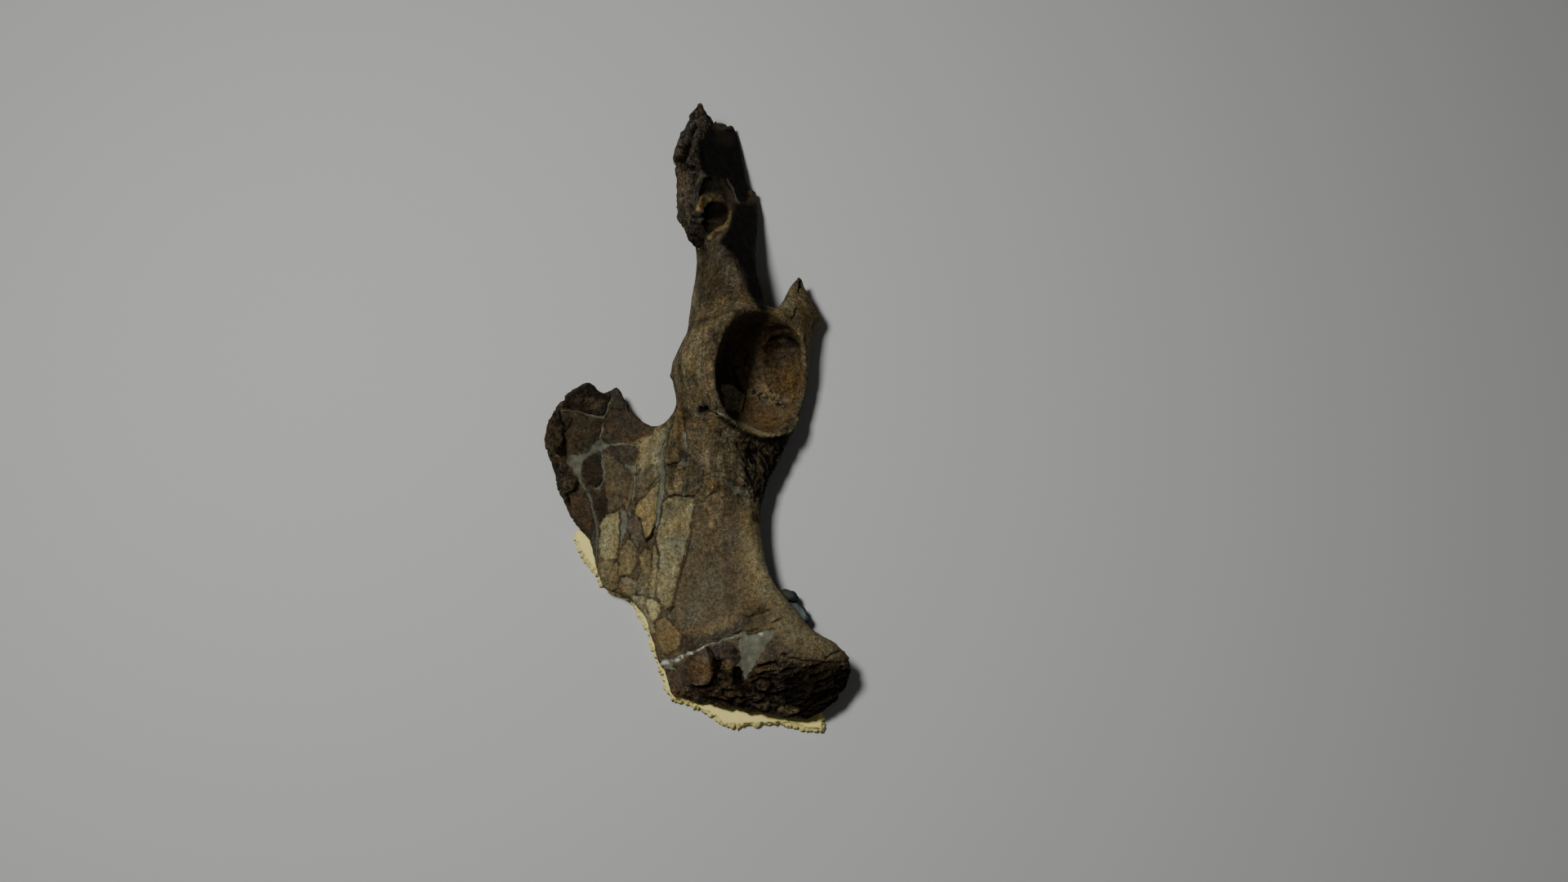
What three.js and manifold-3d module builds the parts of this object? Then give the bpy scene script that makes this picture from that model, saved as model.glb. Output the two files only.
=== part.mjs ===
// Fossil proboscidean half pelvis: one innominate bone lying with its outer face up. A torn bed of
// plaster lies under the edge of the ilium, and two small stones stand under its right border.
// Millimetres, +Z up. +Y runs along the ischium, +X towards the broken pubis.
import * as THREE from 'three';
import Module from 'manifold-3d';

const wasm = await Module();
wasm.setup();

// ---- driving dimensions ----
const CUP_MOUTH = [-8, -2, 112];           // centre of the acetabulum's mouth
const CUP_AXIS = [0.707, -0.218, 0.672];   // the way the acetabulum opens
const CUP_RADIUS = 84;
const CUP_SET_OUT = 8;                     // the cup's own centre stands this far outside its mouth
const BODY_RADIUS = 96;                    // bone around the cup
const BODY_SET_IN = 28;
const BODY_FLOOR = 17;                     // the flat inner wall behind the cup
const RIM_RADIUS = 88.5;
const RIM_BEAD = 8;
const FOSSA_RADIUS = 40;
const BED_THICKNESS = 13;
const CLEARANCE = 0.5;                     // air left between two touching pieces
const BONE_TRIANGLES = 8600;
const BED_TRIANGLES = 900;

// ---- outline of the bone seen from above, clockwise ----
const ischiumEnd = [
  [-96, 444], [-90, 428], [-76, 424], [-46, 427], [-41, 407], [-34, 368], [-27, 328], [-16, 320],
];
const ischiumRight = [
  [-11, 302], [-13, 250], [-15, 200], [-12, 160], [-2, 133], [4, 112],
];
const pubisStub = [
  [13, 104], [24, 122], [34, 150], [48, 172], [60, 155], [70, 134], [80, 112], [69, 92],
];
const cupRight = [
  [66, 67], [60, 39], [54, 7], [47, -32], [40, -65], [26, -94],
];
const rightBorder = [
  [14, -119], [1, -148], [-6, -179], [-6, -210], [-2, -242], [6, -277], [23, -306], [44, -334],
  [67, -362], [98, -379],
];
const crestEdge = [
  [114, -399], [111, -425], [98, -446], [78, -462], [55, -473], [15, -467], [-24, -461],
  [-64, -456], [-97, -447], [-127, -439],
];
const brokenLeftEdge = [
  [-135, -417], [-148, -392], [-156, -364], [-170, -329], [-196, -304], [-228, -290],
  [-235, -260], [-250, -220], [-274, -190],
];
const sacralLobe = [
  [-292, -155], [-304, -114], [-314, -85], [-315, -58], [-305, -25], [-284, -1], [-256, 13],
  [-233, -6], [-215, 3], [-202, -20],
];
const sciaticNotch = [
  [-182, -45], [-156, -60], [-137, -54], [-126, -38], [-126, -20],
];
const ischiumLeft = [
  [-133, 2], [-134, 22], [-123, 43], [-112, 65], [-110, 95], [-107, 134], [-101, 181],
  [-103, 210], [-107, 234], [-117, 255], [-130, 284], [-131, 324], [-137, 364], [-129, 387],
  [-114, 416],
];
const boneOutline = [
  ...ischiumEnd, ...ischiumRight, ...pubisStub, ...cupRight, ...rightBorder, ...crestEdge,
  ...brokenLeftEdge, ...sacralLobe, ...sciaticNotch, ...ischiumLeft,
];

// ---- heights of the bone: x, y, upper surface, lower surface, edge rounding ----
const boneHeights = [
  // broken end of the ischium, with a rough left face
  [-98, 425, 94, 26, 5], [-55, 422, 70, 0, 4], [-118, 385, 84, 8, 16], [-96, 348, 122, 0, 18], [-62, 385, 112, 2, 6],
  [-45, 360, 112, 0, 6], [-96, 310, 126, 0, 18], [-122, 320, 88, 0, 16], [-38, 310, 116, 4, 14],
  [-120, 270, 88, 6, 16], [-85, 270, 126, 6, 22], [-40, 270, 118, 12, 18], [-104, 222, 108, 24, 18],
  // shaft of the ischium
  [-96, 190, 98, 34, 28], [-62, 185, 126, 38, 26], [-40, 190, 126, 38, 22], [-20, 190, 112, 36, 16],
  [-92, 130, 108, 46, 28], [-60, 140, 132, 44, 30], [-34, 142, 134, 42, 22], [-14, 140, 116, 40, 16],
  // around the acetabulum
  [-100, 70, 116, 48, 26], [-60, 90, 140, 44, 30], [-20, 97, 134, 44, 22], [2, 108, 100, 50, 14],
  [-120, 20, 112, 44, 26], [-112, -30, 112, 40, 26], [-40, 10, 104, 22, 24], [0, 0, 96, 17, 22],
  [58, 0, 60, 12, 18], [45, -60, 70, 18, 18], [64, 60, 64, 6, 20], [22, 96, 108, 30, 16],
  // pubis stub
  [42, 98, 88, 12, 18], [45, 125, 72, 3, 18], [50, 158, 52, 8, 12], [72, 110, 56, 3, 16],
  // neck of the ilium
  [-72, -95, 120, 40, 24], [-40, -106, 104, 38, 20], [-5, -108, 76, 32, 18], [18, -106, 60, 30, 14],
  [-112, -100, 98, 34, 12], [-148, -76, 58, 24, 8], [-60, -148, 106, 36, 20], [-25, -150, 84, 32, 18],
  [-2, -155, 60, 28, 15], [-110, -150, 82, 28, 12], [-150, -140, 56, 20, 8], [-70, -190, 88, 30, 18],
  [-25, -190, 80, 28, 19],
  // hollow of the gluteal face
  [-80, -235, 68, 24, 16], [-28, -235, 74, 28, 21], [-125, -230, 54, 17, 8], [-170, -215, 42, 14, 6],
  [-95, -300, 46, 15, 9], [-45, -300, 60, 20, 16], [5, -290, 78, 30, 23], [-145, -320, 38, 14, 5],
  [-200, -280, 34, 14, 5],
  // lobe that carried the sacrum
  [-210, -60, 38, 14, 9], [-250, -110, 42, 14, 12], [-300, -85, 44, 8, 17], [-255, -10, 42, 12, 13],
  [-215, -150, 38, 14, 7], [-240, -225, 36, 14, 5], [-285, -150, 42, 11, 14],
  // crest and hip knob
  [-120, -389, 46, 14, 6], [-74, -377, 68, 15, 14], [-29, -364, 90, 17, 24], [15, -357, 100, 22, 32],
  [50, -350, 98, 28, 32], [71, -380, 99, 22, 34], [100, -400, 84, 20, 31], [-86, -431, 40, 14, 10],
  [-45, -430, 56, 14, 20], [0, -435, 62, 14, 24], [50, -435, 64, 14, 25], [95, -430, 62, 14, 24],
];

// ---- outline of the plaster bed ----
const bedOutline = [
  [-274, -206], [-271, -222], [-265, -240], [-253, -252], [-245, -263], [-237, -273], [-234, -286],
  [-221, -291], [-203, -300], [-184, -313], [-179, -324], [-172, -342], [-164, -360], [-157, -376],
  [-151, -390], [-147, -404], [-142, -420], [-137, -436], [-133, -448], [-100, -455], [-80, -468],
  [-56, -484], [-28, -486], [-6, -482], [24, -482], [46, -485], [79, -494], [84, -482], [80, -466],
  [66, -440], [30, -400], [-20, -372], [-70, -330], [-110, -270], [-150, -215], [-200, -190],
  [-250, -195],
];

// ---- small numeric helpers ----
const smoothUnion = (a, b, k) => {
  const h = Math.max(k - Math.abs(a - b), 0) / k;
  return Math.min(a, b) - h * h * k * 0.25;
};
const smoothCut = (solid, tool, k) => -smoothUnion(-solid, tool, k);
const along = (from, direction, distance) => from.map((value, i) => value + direction[i] * distance);
const length3 = (x, y, z) => Math.sqrt(x * x + y * y + z * z);

function capsule(x, y, z, a, b, radius) {
  const [abx, aby, abz] = [b[0] - a[0], b[1] - a[1], b[2] - a[2]];
  const [apx, apy, apz] = [x - a[0], y - a[1], z - a[2]];
  const t = (apx * abx + apy * aby + apz * abz) / (abx * abx + aby * aby + abz * abz);
  const s = Math.min(1, Math.max(0, t));
  return length3(apx - abx * s, apy - aby * s, apz - abz * s) - radius;
}

function ellipsoid(x, y, z, centre, axes) {
  const [px, py, pz] = [(x - centre[0]) / axes[0], (y - centre[1]) / axes[1], (z - centre[2]) / axes[2]];
  const k0 = length3(px, py, pz);
  const k1 = length3(px / axes[0], py / axes[1], pz / axes[2]);
  return k1 === 0 ? -Math.min(...axes) : (k0 * (k0 - 1)) / k1;
}

// Signed distance to a closed outline, positive inside.
function outlineField(points, smooth) {
  const corners = points.map(([x, y]) => new THREE.Vector3(x, y, 0));
  const curve = new THREE.CatmullRomCurve3(corners, true, 'centripetal');
  const path = smooth ? curve.getPoints(points.length * 3).slice(0, -1) : corners;
  const px = Float64Array.from(path, (p) => p.x);
  const py = Float64Array.from(path, (p) => p.y);
  return (x, y) => {
    let nearest = Infinity;
    let inside = false;
    for (let i = 0, j = px.length - 1; i < px.length; j = i, i += 1) {
      const ex = px[i] - px[j];
      const ey = py[i] - py[j];
      const wx = x - px[j];
      const wy = y - py[j];
      const t = Math.min(1, Math.max(0, (wx * ex + wy * ey) / (ex * ex + ey * ey)));
      const dx = wx - ex * t;
      const dy = wy - ey * t;
      nearest = Math.min(nearest, dx * dx + dy * dy);
      if ((py[j] > y) !== (py[i] > y) && wx < ex * (wy / ey)) inside = !inside;
    }
    return inside ? Math.sqrt(nearest) : -Math.sqrt(nearest);
  };
}

// Thin-plate surfaces through scattered values, a little relaxed so they stay calm. Each point is
// x, y and then one value for each surface.
function thinPlates(points) {
  const n = points.length;
  const size = n + 3;
  const count = points[0].length - 2;
  const scale = 0.01;
  const kernel = (r2) => (r2 > 0 ? r2 * Math.log(r2) : 0);
  const rows = Array.from({ length: size }, () => new Float64Array(size + count));
  points.forEach((p, i) => {
    points.forEach((q, j) => {
      rows[i][j] = kernel(((p[0] - q[0]) * scale) ** 2 + ((p[1] - q[1]) * scale) ** 2);
    });
    rows[i][i] += 0.01;
    [1, p[0] * scale, p[1] * scale].forEach((value, k) => {
      rows[i][n + k] = value;
      rows[n + k][i] = value;
    });
    for (let k = 0; k < count; k += 1) rows[i][size + k] = p[2 + k];
  });
  for (let c = 0; c < size; c += 1) {
    let pivot = c;
    for (let r = c + 1; r < size; r += 1) {
      if (Math.abs(rows[r][c]) > Math.abs(rows[pivot][c])) pivot = r;
    }
    [rows[c], rows[pivot]] = [rows[pivot], rows[c]];
    for (let r = 0; r < size; r += 1) {
      if (r === c) continue;
      const factor = rows[r][c] / rows[c][c];
      for (let k = c; k < size + count; k += 1) rows[r][k] -= factor * rows[c][k];
    }
  }
  return (x, y) => {
    const values = [];
    for (let k = 0; k < count; k += 1) {
      const weight = (i) => rows[i][size + k] / rows[i][i];
      values.push(weight(n) + weight(n + 1) * x * scale + weight(n + 2) * y * scale);
    }
    for (let i = 0; i < n; i += 1) {
      const dx = (x - points[i][0]) * scale;
      const dy = (y - points[i][1]) * scale;
      const pull = kernel(dx * dx + dy * dy) / rows[i][i];
      for (let k = 0; k < count; k += 1) values[k] += rows[i][size + k] * pull;
    }
    return values;
  };
}

// A plate with an outline, an upper and a lower surface, and rounded edges.
function plateField(inside, surfaces) {
  let [atX, atY, half, mid, r, d] = [NaN, NaN, 0, 0, 0, 0];
  return (x, y, z) => {
    if (x !== atX || y !== atY) {
      const [top, bottom, rounding] = surfaces(x, y);
      [atX, atY] = [x, y];
      half = Math.max(4, (top - bottom) / 2);
      mid = (top + bottom) / 2;
      r = Math.min(half, Math.max(4, rounding));
      d = inside(x, y);
    }
    const a = r - d;
    const b = Math.abs(z - mid) - (half - r);
    return length3(Math.max(a, 0), Math.max(b, 0), 0) + Math.min(Math.max(a, b), 0) - r;
  };
}

const steps = (from, to, step) => {
  const count = Math.ceil((to - from) / step);
  return Array.from({ length: count + 1 }, (_, i) => from + i * step);
};

// Where a grid square has solid on one diagonal and air on the other, the skin would touch itself.
// The corner nearest the surface changes side until no such square is left.
function partTouching(values, at, nx, ny, nz) {
  const squares = [[[0, 1, 0], [0, 0, 1]], [[1, 0, 0], [0, 0, 1]], [[1, 0, 0], [0, 1, 0]]];
  let changed = true;
  while (changed) {
    changed = false;
    for (let i = 0; i < nx - 1; i += 1) {
      for (let j = 0; j < ny - 1; j += 1) {
        for (let k = 0; k < nz - 1; k += 1) {
          squares.forEach(([u, v]) => {
            const ids = [
              at(i, j, k),
              at(i + u[0], j + u[1], k + u[2]),
              at(i + u[0] + v[0], j + u[1] + v[1], k + u[2] + v[2]),
              at(i + v[0], j + v[1], k + v[2]),
            ];
            const [a, b, c, d] = ids.map((id) => values[id] < 0);
            if (a !== c || b !== d || a === b) return;
            ids.sort((p, q) => Math.abs(values[p]) - Math.abs(values[q]));
            values[ids[0]] = values[ids[0]] < 0 ? 0.001 : -0.001;
            changed = true;
          });
        }
      }
    }
  }
}

// Skins a field with quads, one vertex a cell, then settles each vertex on the true surface.
function skin(field, xs, ys, zs) {
  const nx = xs.length;
  const ny = ys.length;
  const nz = zs.length;
  const at = (i, j, k) => (i * ny + j) * nz + k;
  const values = new Float64Array(nx * ny * nz);
  for (let i = 0; i < nx; i += 1) {
    for (let j = 0; j < ny; j += 1) {
      for (let k = 0; k < nz; k += 1) values[at(i, j, k)] = field(xs[i], ys[j], zs[k]) || 1e-9;
    }
  }
  partTouching(values, at, nx, ny, nz);
  const cellOf = new Int32Array(nx * ny * nz).fill(-1);
  const vertices = [];
  const reaches = [];
  const corners = [0, 1, 2, 3, 4, 5, 6, 7].map((c) => [c & 1, (c >> 1) & 1, (c >> 2) & 1]);
  const edges = [
    [0, 1], [2, 3], [4, 5], [6, 7], [0, 2], [1, 3], [4, 6], [5, 7], [0, 4], [1, 5], [2, 6], [3, 7],
  ];
  for (let i = 0; i < nx - 1; i += 1) {
    for (let j = 0; j < ny - 1; j += 1) {
      for (let k = 0; k < nz - 1; k += 1) {
        const f = corners.map(([a, b, c]) => values[at(i + a, j + b, k + c)]);
        const crossed = edges.filter(([a, b]) => (f[a] < 0) !== (f[b] < 0));
        if (crossed.length === 0) continue;
        const sum = [0, 0, 0];
        crossed.forEach(([a, b]) => {
          const t = f[a] / (f[a] - f[b]);
          const [p, q] = [corners[a], corners[b]];
          sum[0] += xs[i + p[0]] * (1 - t) + xs[i + q[0]] * t;
          sum[1] += ys[j + p[1]] * (1 - t) + ys[j + q[1]] * t;
          sum[2] += zs[k + p[2]] * (1 - t) + zs[k + q[2]] * t;
        });
        cellOf[at(i, j, k)] = vertices.length;
        vertices.push(sum.map((value) => value / crossed.length));
        reaches.push(0.6 * Math.max(xs[i + 1] - xs[i], ys[j + 1] - ys[j], zs[k + 1] - zs[k]));
      }
    }
  }
  const h = 0.3;
  vertices.forEach((v, index) => {
    const start = [...v];
    const reach = reaches[index];
    for (let round = 0; round < 3; round += 1) {
      const f = field(v[0], v[1], v[2]);
      const gz = (field(v[0], v[1], v[2] + h) - f) / h;
      const gx = (field(v[0] + h, v[1], v[2]) - f) / h;
      const gy = (field(v[0], v[1] + h, v[2]) - f) / h;
      const g2 = gx * gx + gy * gy + gz * gz;
      if (g2 < 0.05) break;
      [gx, gy, gz].forEach((g, axis) => {
        const moved = v[axis] - (f * g) / g2;
        v[axis] = Math.min(start[axis] + reach, Math.max(start[axis] - reach, moved));
      });
    }
    if (v[2] < 1.6) v[2] = 0;
  });
  const ring = vertices.map(() => new Set());
  const triangles = [];
  const between = (a, b) => {
    const [p, q] = [vertices[a], vertices[b]];
    return length3(p[0] - q[0], p[1] - q[1], p[2] - q[2]);
  };
  const quad = (a, b, c, d, flip) => {
    const [p, q, r, s] = flip ? [a, b, c, d] : [d, c, b, a];
    [[p, q], [q, r], [r, s], [s, p]].forEach(([m, n]) => {
      ring[m].add(n);
      ring[n].add(m);
    });
    if (between(p, r) < between(q, s)) triangles.push([p, q, r], [p, r, s]);
    else triangles.push([q, r, s], [q, s, p]);
  };
  for (let i = 0; i < nx - 1; i += 1) {
    for (let j = 0; j < ny - 1; j += 1) {
      for (let k = 0; k < nz - 1; k += 1) {
        const here = values[at(i, j, k)] < 0;
        const cell = (a, b, c) => cellOf[at(i - a, j - b, k - c)];
        if (j > 0 && k > 0 && here !== values[at(i + 1, j, k)] < 0) {
          quad(cell(0, 0, 0), cell(0, 1, 0), cell(0, 1, 1), cell(0, 0, 1), here);
        }
        if (i > 0 && k > 0 && here !== values[at(i, j + 1, k)] < 0) {
          quad(cell(0, 0, 0), cell(0, 0, 1), cell(1, 0, 1), cell(1, 0, 0), here);
        }
        if (i > 0 && j > 0 && here !== values[at(i, j, k + 1)] < 0) {
          quad(cell(0, 0, 0), cell(1, 0, 0), cell(1, 1, 0), cell(0, 1, 0), here);
        }
      }
    }
  }
  // evens out the steps along sharp edges, without shrinking the solid
  [0.5, -0.52, 0.5, -0.52].forEach((amount) => {
    const before = vertices.map((v) => [...v]);
    vertices.forEach((v, i) => {
      const mean = [0, 0, 0];
      ring[i].forEach((n) => before[n].forEach((value, axis) => { mean[axis] += value / ring[i].size; }));
      const axes = v[2] === 0 ? [0, 1] : [0, 1, 2];
      axes.forEach((axis) => { v[axis] += amount * (mean[axis] - before[i][axis]); });
      if (v[2] < 1) v[2] = 0;
    });
  });
  return { vertices, triangles };
}

// Merges short edges, flattest places first, until the mesh is down to the wanted size.
function thinOut({ vertices, triangles }, wanted) {
  const tris = triangles.map((t) => [...t]);
  const alive = new Uint8Array(tris.length).fill(1);
  const around = vertices.map(() => new Set());
  tris.forEach((t, i) => t.forEach((v) => around[v].add(i)));
  const point = vertices.map((v) => [...v]);
  const version = new Int32Array(point.length);
  const cross = (a, b, c) => {
    const [ux, uy, uz] = [b[0] - a[0], b[1] - a[1], b[2] - a[2]];
    const [vx, vy, vz] = [c[0] - a[0], c[1] - a[1], c[2] - a[2]];
    return [uy * vz - uz * vy, uz * vx - ux * vz, ux * vy - uy * vx];
  };
  // sum of squared distances to the planes round a vertex, as ten numbers
  const quadric = point.map(() => new Float64Array(10));
  tris.forEach((t) => {
    const n = cross(point[t[0]], point[t[1]], point[t[2]]);
    const area = length3(...n) || 1e-9;
    const [a, b, c] = n.map((value) => value / area);
    const d = -(a * point[t[0]][0] + b * point[t[0]][1] + c * point[t[0]][2]);
    const plane = [a * a, a * b, a * c, a * d, b * b, b * c, b * d, c * c, c * d, d * d];
    t.forEach((v) => plane.forEach((value, k) => { quadric[v][k] += value * area; }));
  });
  const error = (q, [x, y, z]) => q[0] * x * x + 2 * q[1] * x * y + 2 * q[2] * x * z + 2 * q[3] * x
    + q[4] * y * y + 2 * q[5] * y * z + 2 * q[6] * y + q[7] * z * z + 2 * q[8] * z + q[9];
  const heap = [];
  const push = (item) => {
    let i = heap.push(item) - 1;
    while (i > 0) {
      const parent = (i - 1) >> 1;
      if (heap[parent].cost <= heap[i].cost) break;
      [heap[parent], heap[i]] = [heap[i], heap[parent]];
      i = parent;
    }
  };
  const pop = () => {
    const top = heap[0];
    const last = heap.pop();
    if (heap.length > 0) {
      heap[0] = last;
      let i = 0;
      for (;;) {
        const left = 2 * i + 1;
        let least = i;
        if (left < heap.length && heap[left].cost < heap[least].cost) least = left;
        if (left + 1 < heap.length && heap[left + 1].cost < heap[least].cost) least = left + 1;
        if (least === i) break;
        [heap[least], heap[i]] = [heap[i], heap[least]];
        i = least;
      }
    }
    return top;
  };
  const grounded = (v) => point[v][2] === 0;
  const offer = (u, v) => {
    const q = quadric[u].map((value, k) => value + quadric[v][k]);
    const middle = point[u].map((value, k) => (value + point[v][k]) / 2);
    let places = [point[u], point[v], middle];
    if (grounded(u) !== grounded(v)) places = [grounded(u) ? point[u] : point[v]];
    const length = length3(...point[u].map((value, k) => value - point[v][k]));
    const best = places.map((place) => ({ place, cost: error(q, place) }));
    best.sort((a, b) => a.cost - b.cost);
    const cost = best[0].cost + 0.0006 * length ** 4;
    push({ cost, u, v, place: best[0].place, at: version[u] + version[v] });
  };
  const neighbours = (v) => {
    const found = new Set();
    around[v].forEach((t) => tris[t].forEach((w) => { if (w !== v) found.add(w); }));
    return found;
  };
  point.forEach((_, v) => neighbours(v).forEach((w) => { if (v < w) offer(v, w); }));
  const keepsShape = (moved, other, place) => {
    for (const t of around[moved]) {
      if (tris[t].includes(other)) continue;
      const before = tris[t].map((w) => point[w]);
      const after = tris[t].map((w) => (w === moved ? place : point[w]));
      const n0 = cross(...before);
      const n1 = cross(...after);
      const [l0, l1] = [length3(...n0), length3(...n1)];
      const dot = (n0[0] * n1[0] + n0[1] * n1[1] + n0[2] * n1[2]) / (l0 * l1 + 1e-12);
      const sides = [0, 1, 2].map((k) => length3(...after[k].map((c, m) => c - after[(k + 1) % 3][m])));
      if (dot < 0.3 || l1 < 0.12 * Math.max(...sides) ** 2) return false;
    }
    return true;
  };
  let left = tris.length;
  while (left > wanted && heap.length > 0) {
    const { u, v, place, at } = pop();
    if (around[u].size === 0 || around[v].size === 0 || at !== version[u] + version[v]) continue;
    const nu = neighbours(u);
    const shared = [...neighbours(v)].filter((w) => nu.has(w));
    if (!nu.has(v) || shared.length !== 2) continue;
    if (shared.some((w) => around[w].size < 4)) continue;
    if (!keepsShape(u, v, place) || !keepsShape(v, u, place)) continue;
    [...around[v]].forEach((t) => {
      if (tris[t].includes(u)) {
        alive[t] = 0;
        left -= 1;
        tris[t].forEach((w) => around[w].delete(t));
      } else {
        tris[t] = tris[t].map((w) => (w === v ? u : w));
        around[u].add(t);
      }
    });
    around[v].clear();
    point[u] = [...place];
    quadric[u] = quadric[u].map((value, k) => value + quadric[v][k]);
    version[u] += 100000;
    neighbours(u).forEach((w) => {
      version[w] += 1;
      neighbours(w).forEach((x) => offer(w, x));
    });
  }
  const index = new Map();
  const kept = tris.filter((_, i) => alive[i]);
  kept.flat().forEach((v) => { if (!index.has(v)) index.set(v, index.size); });
  return {
    vertices: [...index.keys()].map((v) => point[v]),
    triangles: kept.map((t) => t.map((v) => index.get(v))),
  };
}

function asSolid({ vertices, triangles }) {
  return new wasm.Manifold(new wasm.Mesh({
    numProp: 3,
    vertProperties: new Float32Array(vertices.flat()),
    triVerts: new Uint32Array(triangles.flat()),
  }));
}

// The same mesh with every face moved out by a distance.
function swollen({ vertices, triangles }, distance) {
  const geometry = new THREE.BufferGeometry();
  geometry.setAttribute('position', new THREE.Float32BufferAttribute(vertices.flat(), 3));
  geometry.setIndex(triangles.flat());
  geometry.computeVertexNormals();
  const normal = geometry.getAttribute('normal');
  const moved = vertices.map(([x, y, z], i) => [
    x + normal.getX(i) * distance, y + normal.getY(i) * distance, z + normal.getZ(i) * distance,
  ]);
  return { vertices: moved, triangles };
}

// ---- the bone ----
const insideBone = outlineField(boneOutline, true);
const boneSurfaces = thinPlates(boneHeights);
const blade = plateField(insideBone, boneSurfaces);

const cupCentre = along(CUP_MOUTH, CUP_AXIS, CUP_SET_OUT);
const cupOutside = along(CUP_MOUTH, CUP_AXIS, 200);
const bodyCentre = along(CUP_MOUTH, CUP_AXIS, -BODY_SET_IN);
const fossaUpper = [17, 40, 82];
const fossaLower = [19, -2, 70];

function boneField(x, y, z) {
  // height above the plane of the cup's mouth, and distance from the cup's axis
  const rel = [x - CUP_MOUTH[0], y - CUP_MOUTH[1], z - CUP_MOUTH[2]];
  const lift = rel[0] * CUP_AXIS[0] + rel[1] * CUP_AXIS[1] + rel[2] * CUP_AXIS[2];
  const out = Math.sqrt(Math.max(0, rel[0] ** 2 + rel[1] ** 2 + rel[2] ** 2 - lift * lift));
  const ball = length3(x - bodyCentre[0], y - bodyCentre[1], z - bodyCentre[2]) - BODY_RADIUS;
  const body = smoothCut(smoothCut(ball, z - BODY_FLOOR, 16), 2 - lift, 10);
  let f = smoothUnion(blade(x, y, z), body, 18);
  const bead = length3(out - RIM_RADIUS, lift + 3, 0) - RIM_BEAD;
  f = smoothUnion(f, Math.max(bead, BODY_FLOOR - z), 8);
  // the cup, and the rough fossa sunk in its floor
  f = smoothCut(f, capsule(x, y, z, cupCentre, cupOutside, CUP_RADIUS), 10);
  f = smoothCut(f, capsule(x, y, z, fossaUpper, fossaLower, FOSSA_RADIUS), 3);
  // the neck falls away under the lower rim of the cup
  f = smoothCut(f, ellipsoid(x, y, z, [26, -112, 104], [64, 22, 44]), 12);
  // steep right face of the ischium, falling from its long ridge to its right edge
  const face = 0.8 * x + 0.258 * y + 0.543 * z - 79.4;
  f = smoothCut(f, Math.max(-face, 108 - y, x - 8), 5);
  // marrow hollow broken open near the end of the ischium, with a lip at its lower end
  f = smoothUnion(f, ellipsoid(x, y, z, [-98, 217, 98], [17, 13, 18]), 6);
  f = smoothCut(f, ellipsoid(x, y, z, [-74, 252, 132], [23, 47, 44]), 8);
  return Math.max(f, -z);
}

const boneSkin = skin(
  boneField,
  [...steps(-336, -128, 8), ...steps(-120, 82, 4.5), ...steps(93, 133, 8)],
  [...steps(-500, -140, 8), ...steps(-132, 120, 4.5), ...steps(131, 475, 7)],
  [-5, ...steps(0.6, 215, 5)],
);
const boneMesh = thinOut(boneSkin, BONE_TRIANGLES);
const bone = asSolid(boneMesh);
const boneWithAir = asSolid(swollen(boneMesh, CLEARANCE));

// ---- the plaster bed, flat below and moulded to the bone above ----
const insideBed = outlineField(bedOutline, false);
const bedPlate = plateField(insideBed, (x, y) => {
  const cover = Math.min(1, Math.max(0, (insideBone(x, y) + 6) / 14));
  const under = boneSurfaces(x, y)[1] - 0.9;
  return [BED_THICKNESS + cover * (under - BED_THICKNESS), -20, 4];
});
const bedField = (x, y, z) => Math.max(bedPlate(x, y, z), -z);
const bedSkin = skin(bedField, steps(-290, 105, 8), steps(-510, -170, 8), [-5, ...steps(0.6, 30, 4)]);
const bed = asSolid(thinOut(bedSkin, BED_TRIANGLES)).subtract(boneWithAir);

// ---- two stones under the right border ----
function stone(centre, axes, turn) {
  const shape = new THREE.IcosahedronGeometry(1, 2);
  const p = shape.getAttribute('position');
  const points = [];
  const index = new Map();
  const triangles = [];
  for (let i = 0; i < p.count; i += 1) {
    const v = [p.getX(i), p.getY(i), p.getZ(i)];
    const key = v.map((value) => value.toFixed(4)).join();
    if (!index.has(key)) {
      const lump = 1 + 0.07 * Math.sin(3 * v[0] + 2 * v[1] + turn) + 0.05 * Math.sin(5 * v[2] - 2 * v[0]);
      const c = Math.cos(turn);
      const s = Math.sin(turn);
      const x = v[0] * axes[0] * lump;
      const y = v[1] * axes[1] * lump;
      index.set(key, points.length);
      points.push([
        centre[0] + x * c - y * s,
        centre[1] + x * s + y * c,
        Math.max(0, centre[2] + v[2] * axes[2] * lump),
      ]);
    }
    triangles.push(index.get(key));
  }
  return new wasm.Manifold(new wasm.Mesh({
    numProp: 3,
    vertProperties: new Float32Array(points.flat()),
    triVerts: new Uint32Array(triangles),
  }));
}
const LARGE_STONE = [37, -329, 17];
const largeStone = stone(LARGE_STONE, [27, 18, 19], -0.3).subtract(boneWithAir);
const smallStone = stone([28, -305, 17], [20, 12, 19], 0.1)
  .subtract(stone(LARGE_STONE, [27.6, 18.6, 19.6], -0.3))
  .subtract(boneWithAir);

// ---- scene graph ----
function asMesh(name, solid, material) {
  const { vertProperties, triVerts } = solid.getMesh();
  const geometry = new THREE.BufferGeometry();
  geometry.setAttribute('position', new THREE.BufferAttribute(Float32Array.from(vertProperties), 3));
  geometry.setIndex(new THREE.BufferAttribute(Uint32Array.from(triVerts), 1));
  geometry.computeVertexNormals();
  const mesh = new THREE.Mesh(geometry, material);
  mesh.name = name;
  return mesh;
}

const fossilBone = new THREE.MeshStandardMaterial({ color: 0x7a5f42, roughness: 0.75, metalness: 0 });
const plaster = new THREE.MeshStandardMaterial({ color: 0xd8cfa8, roughness: 0.9, metalness: 0 });
const greyStone = new THREE.MeshStandardMaterial({ color: 0x59646b, roughness: 0.85, metalness: 0 });

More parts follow.
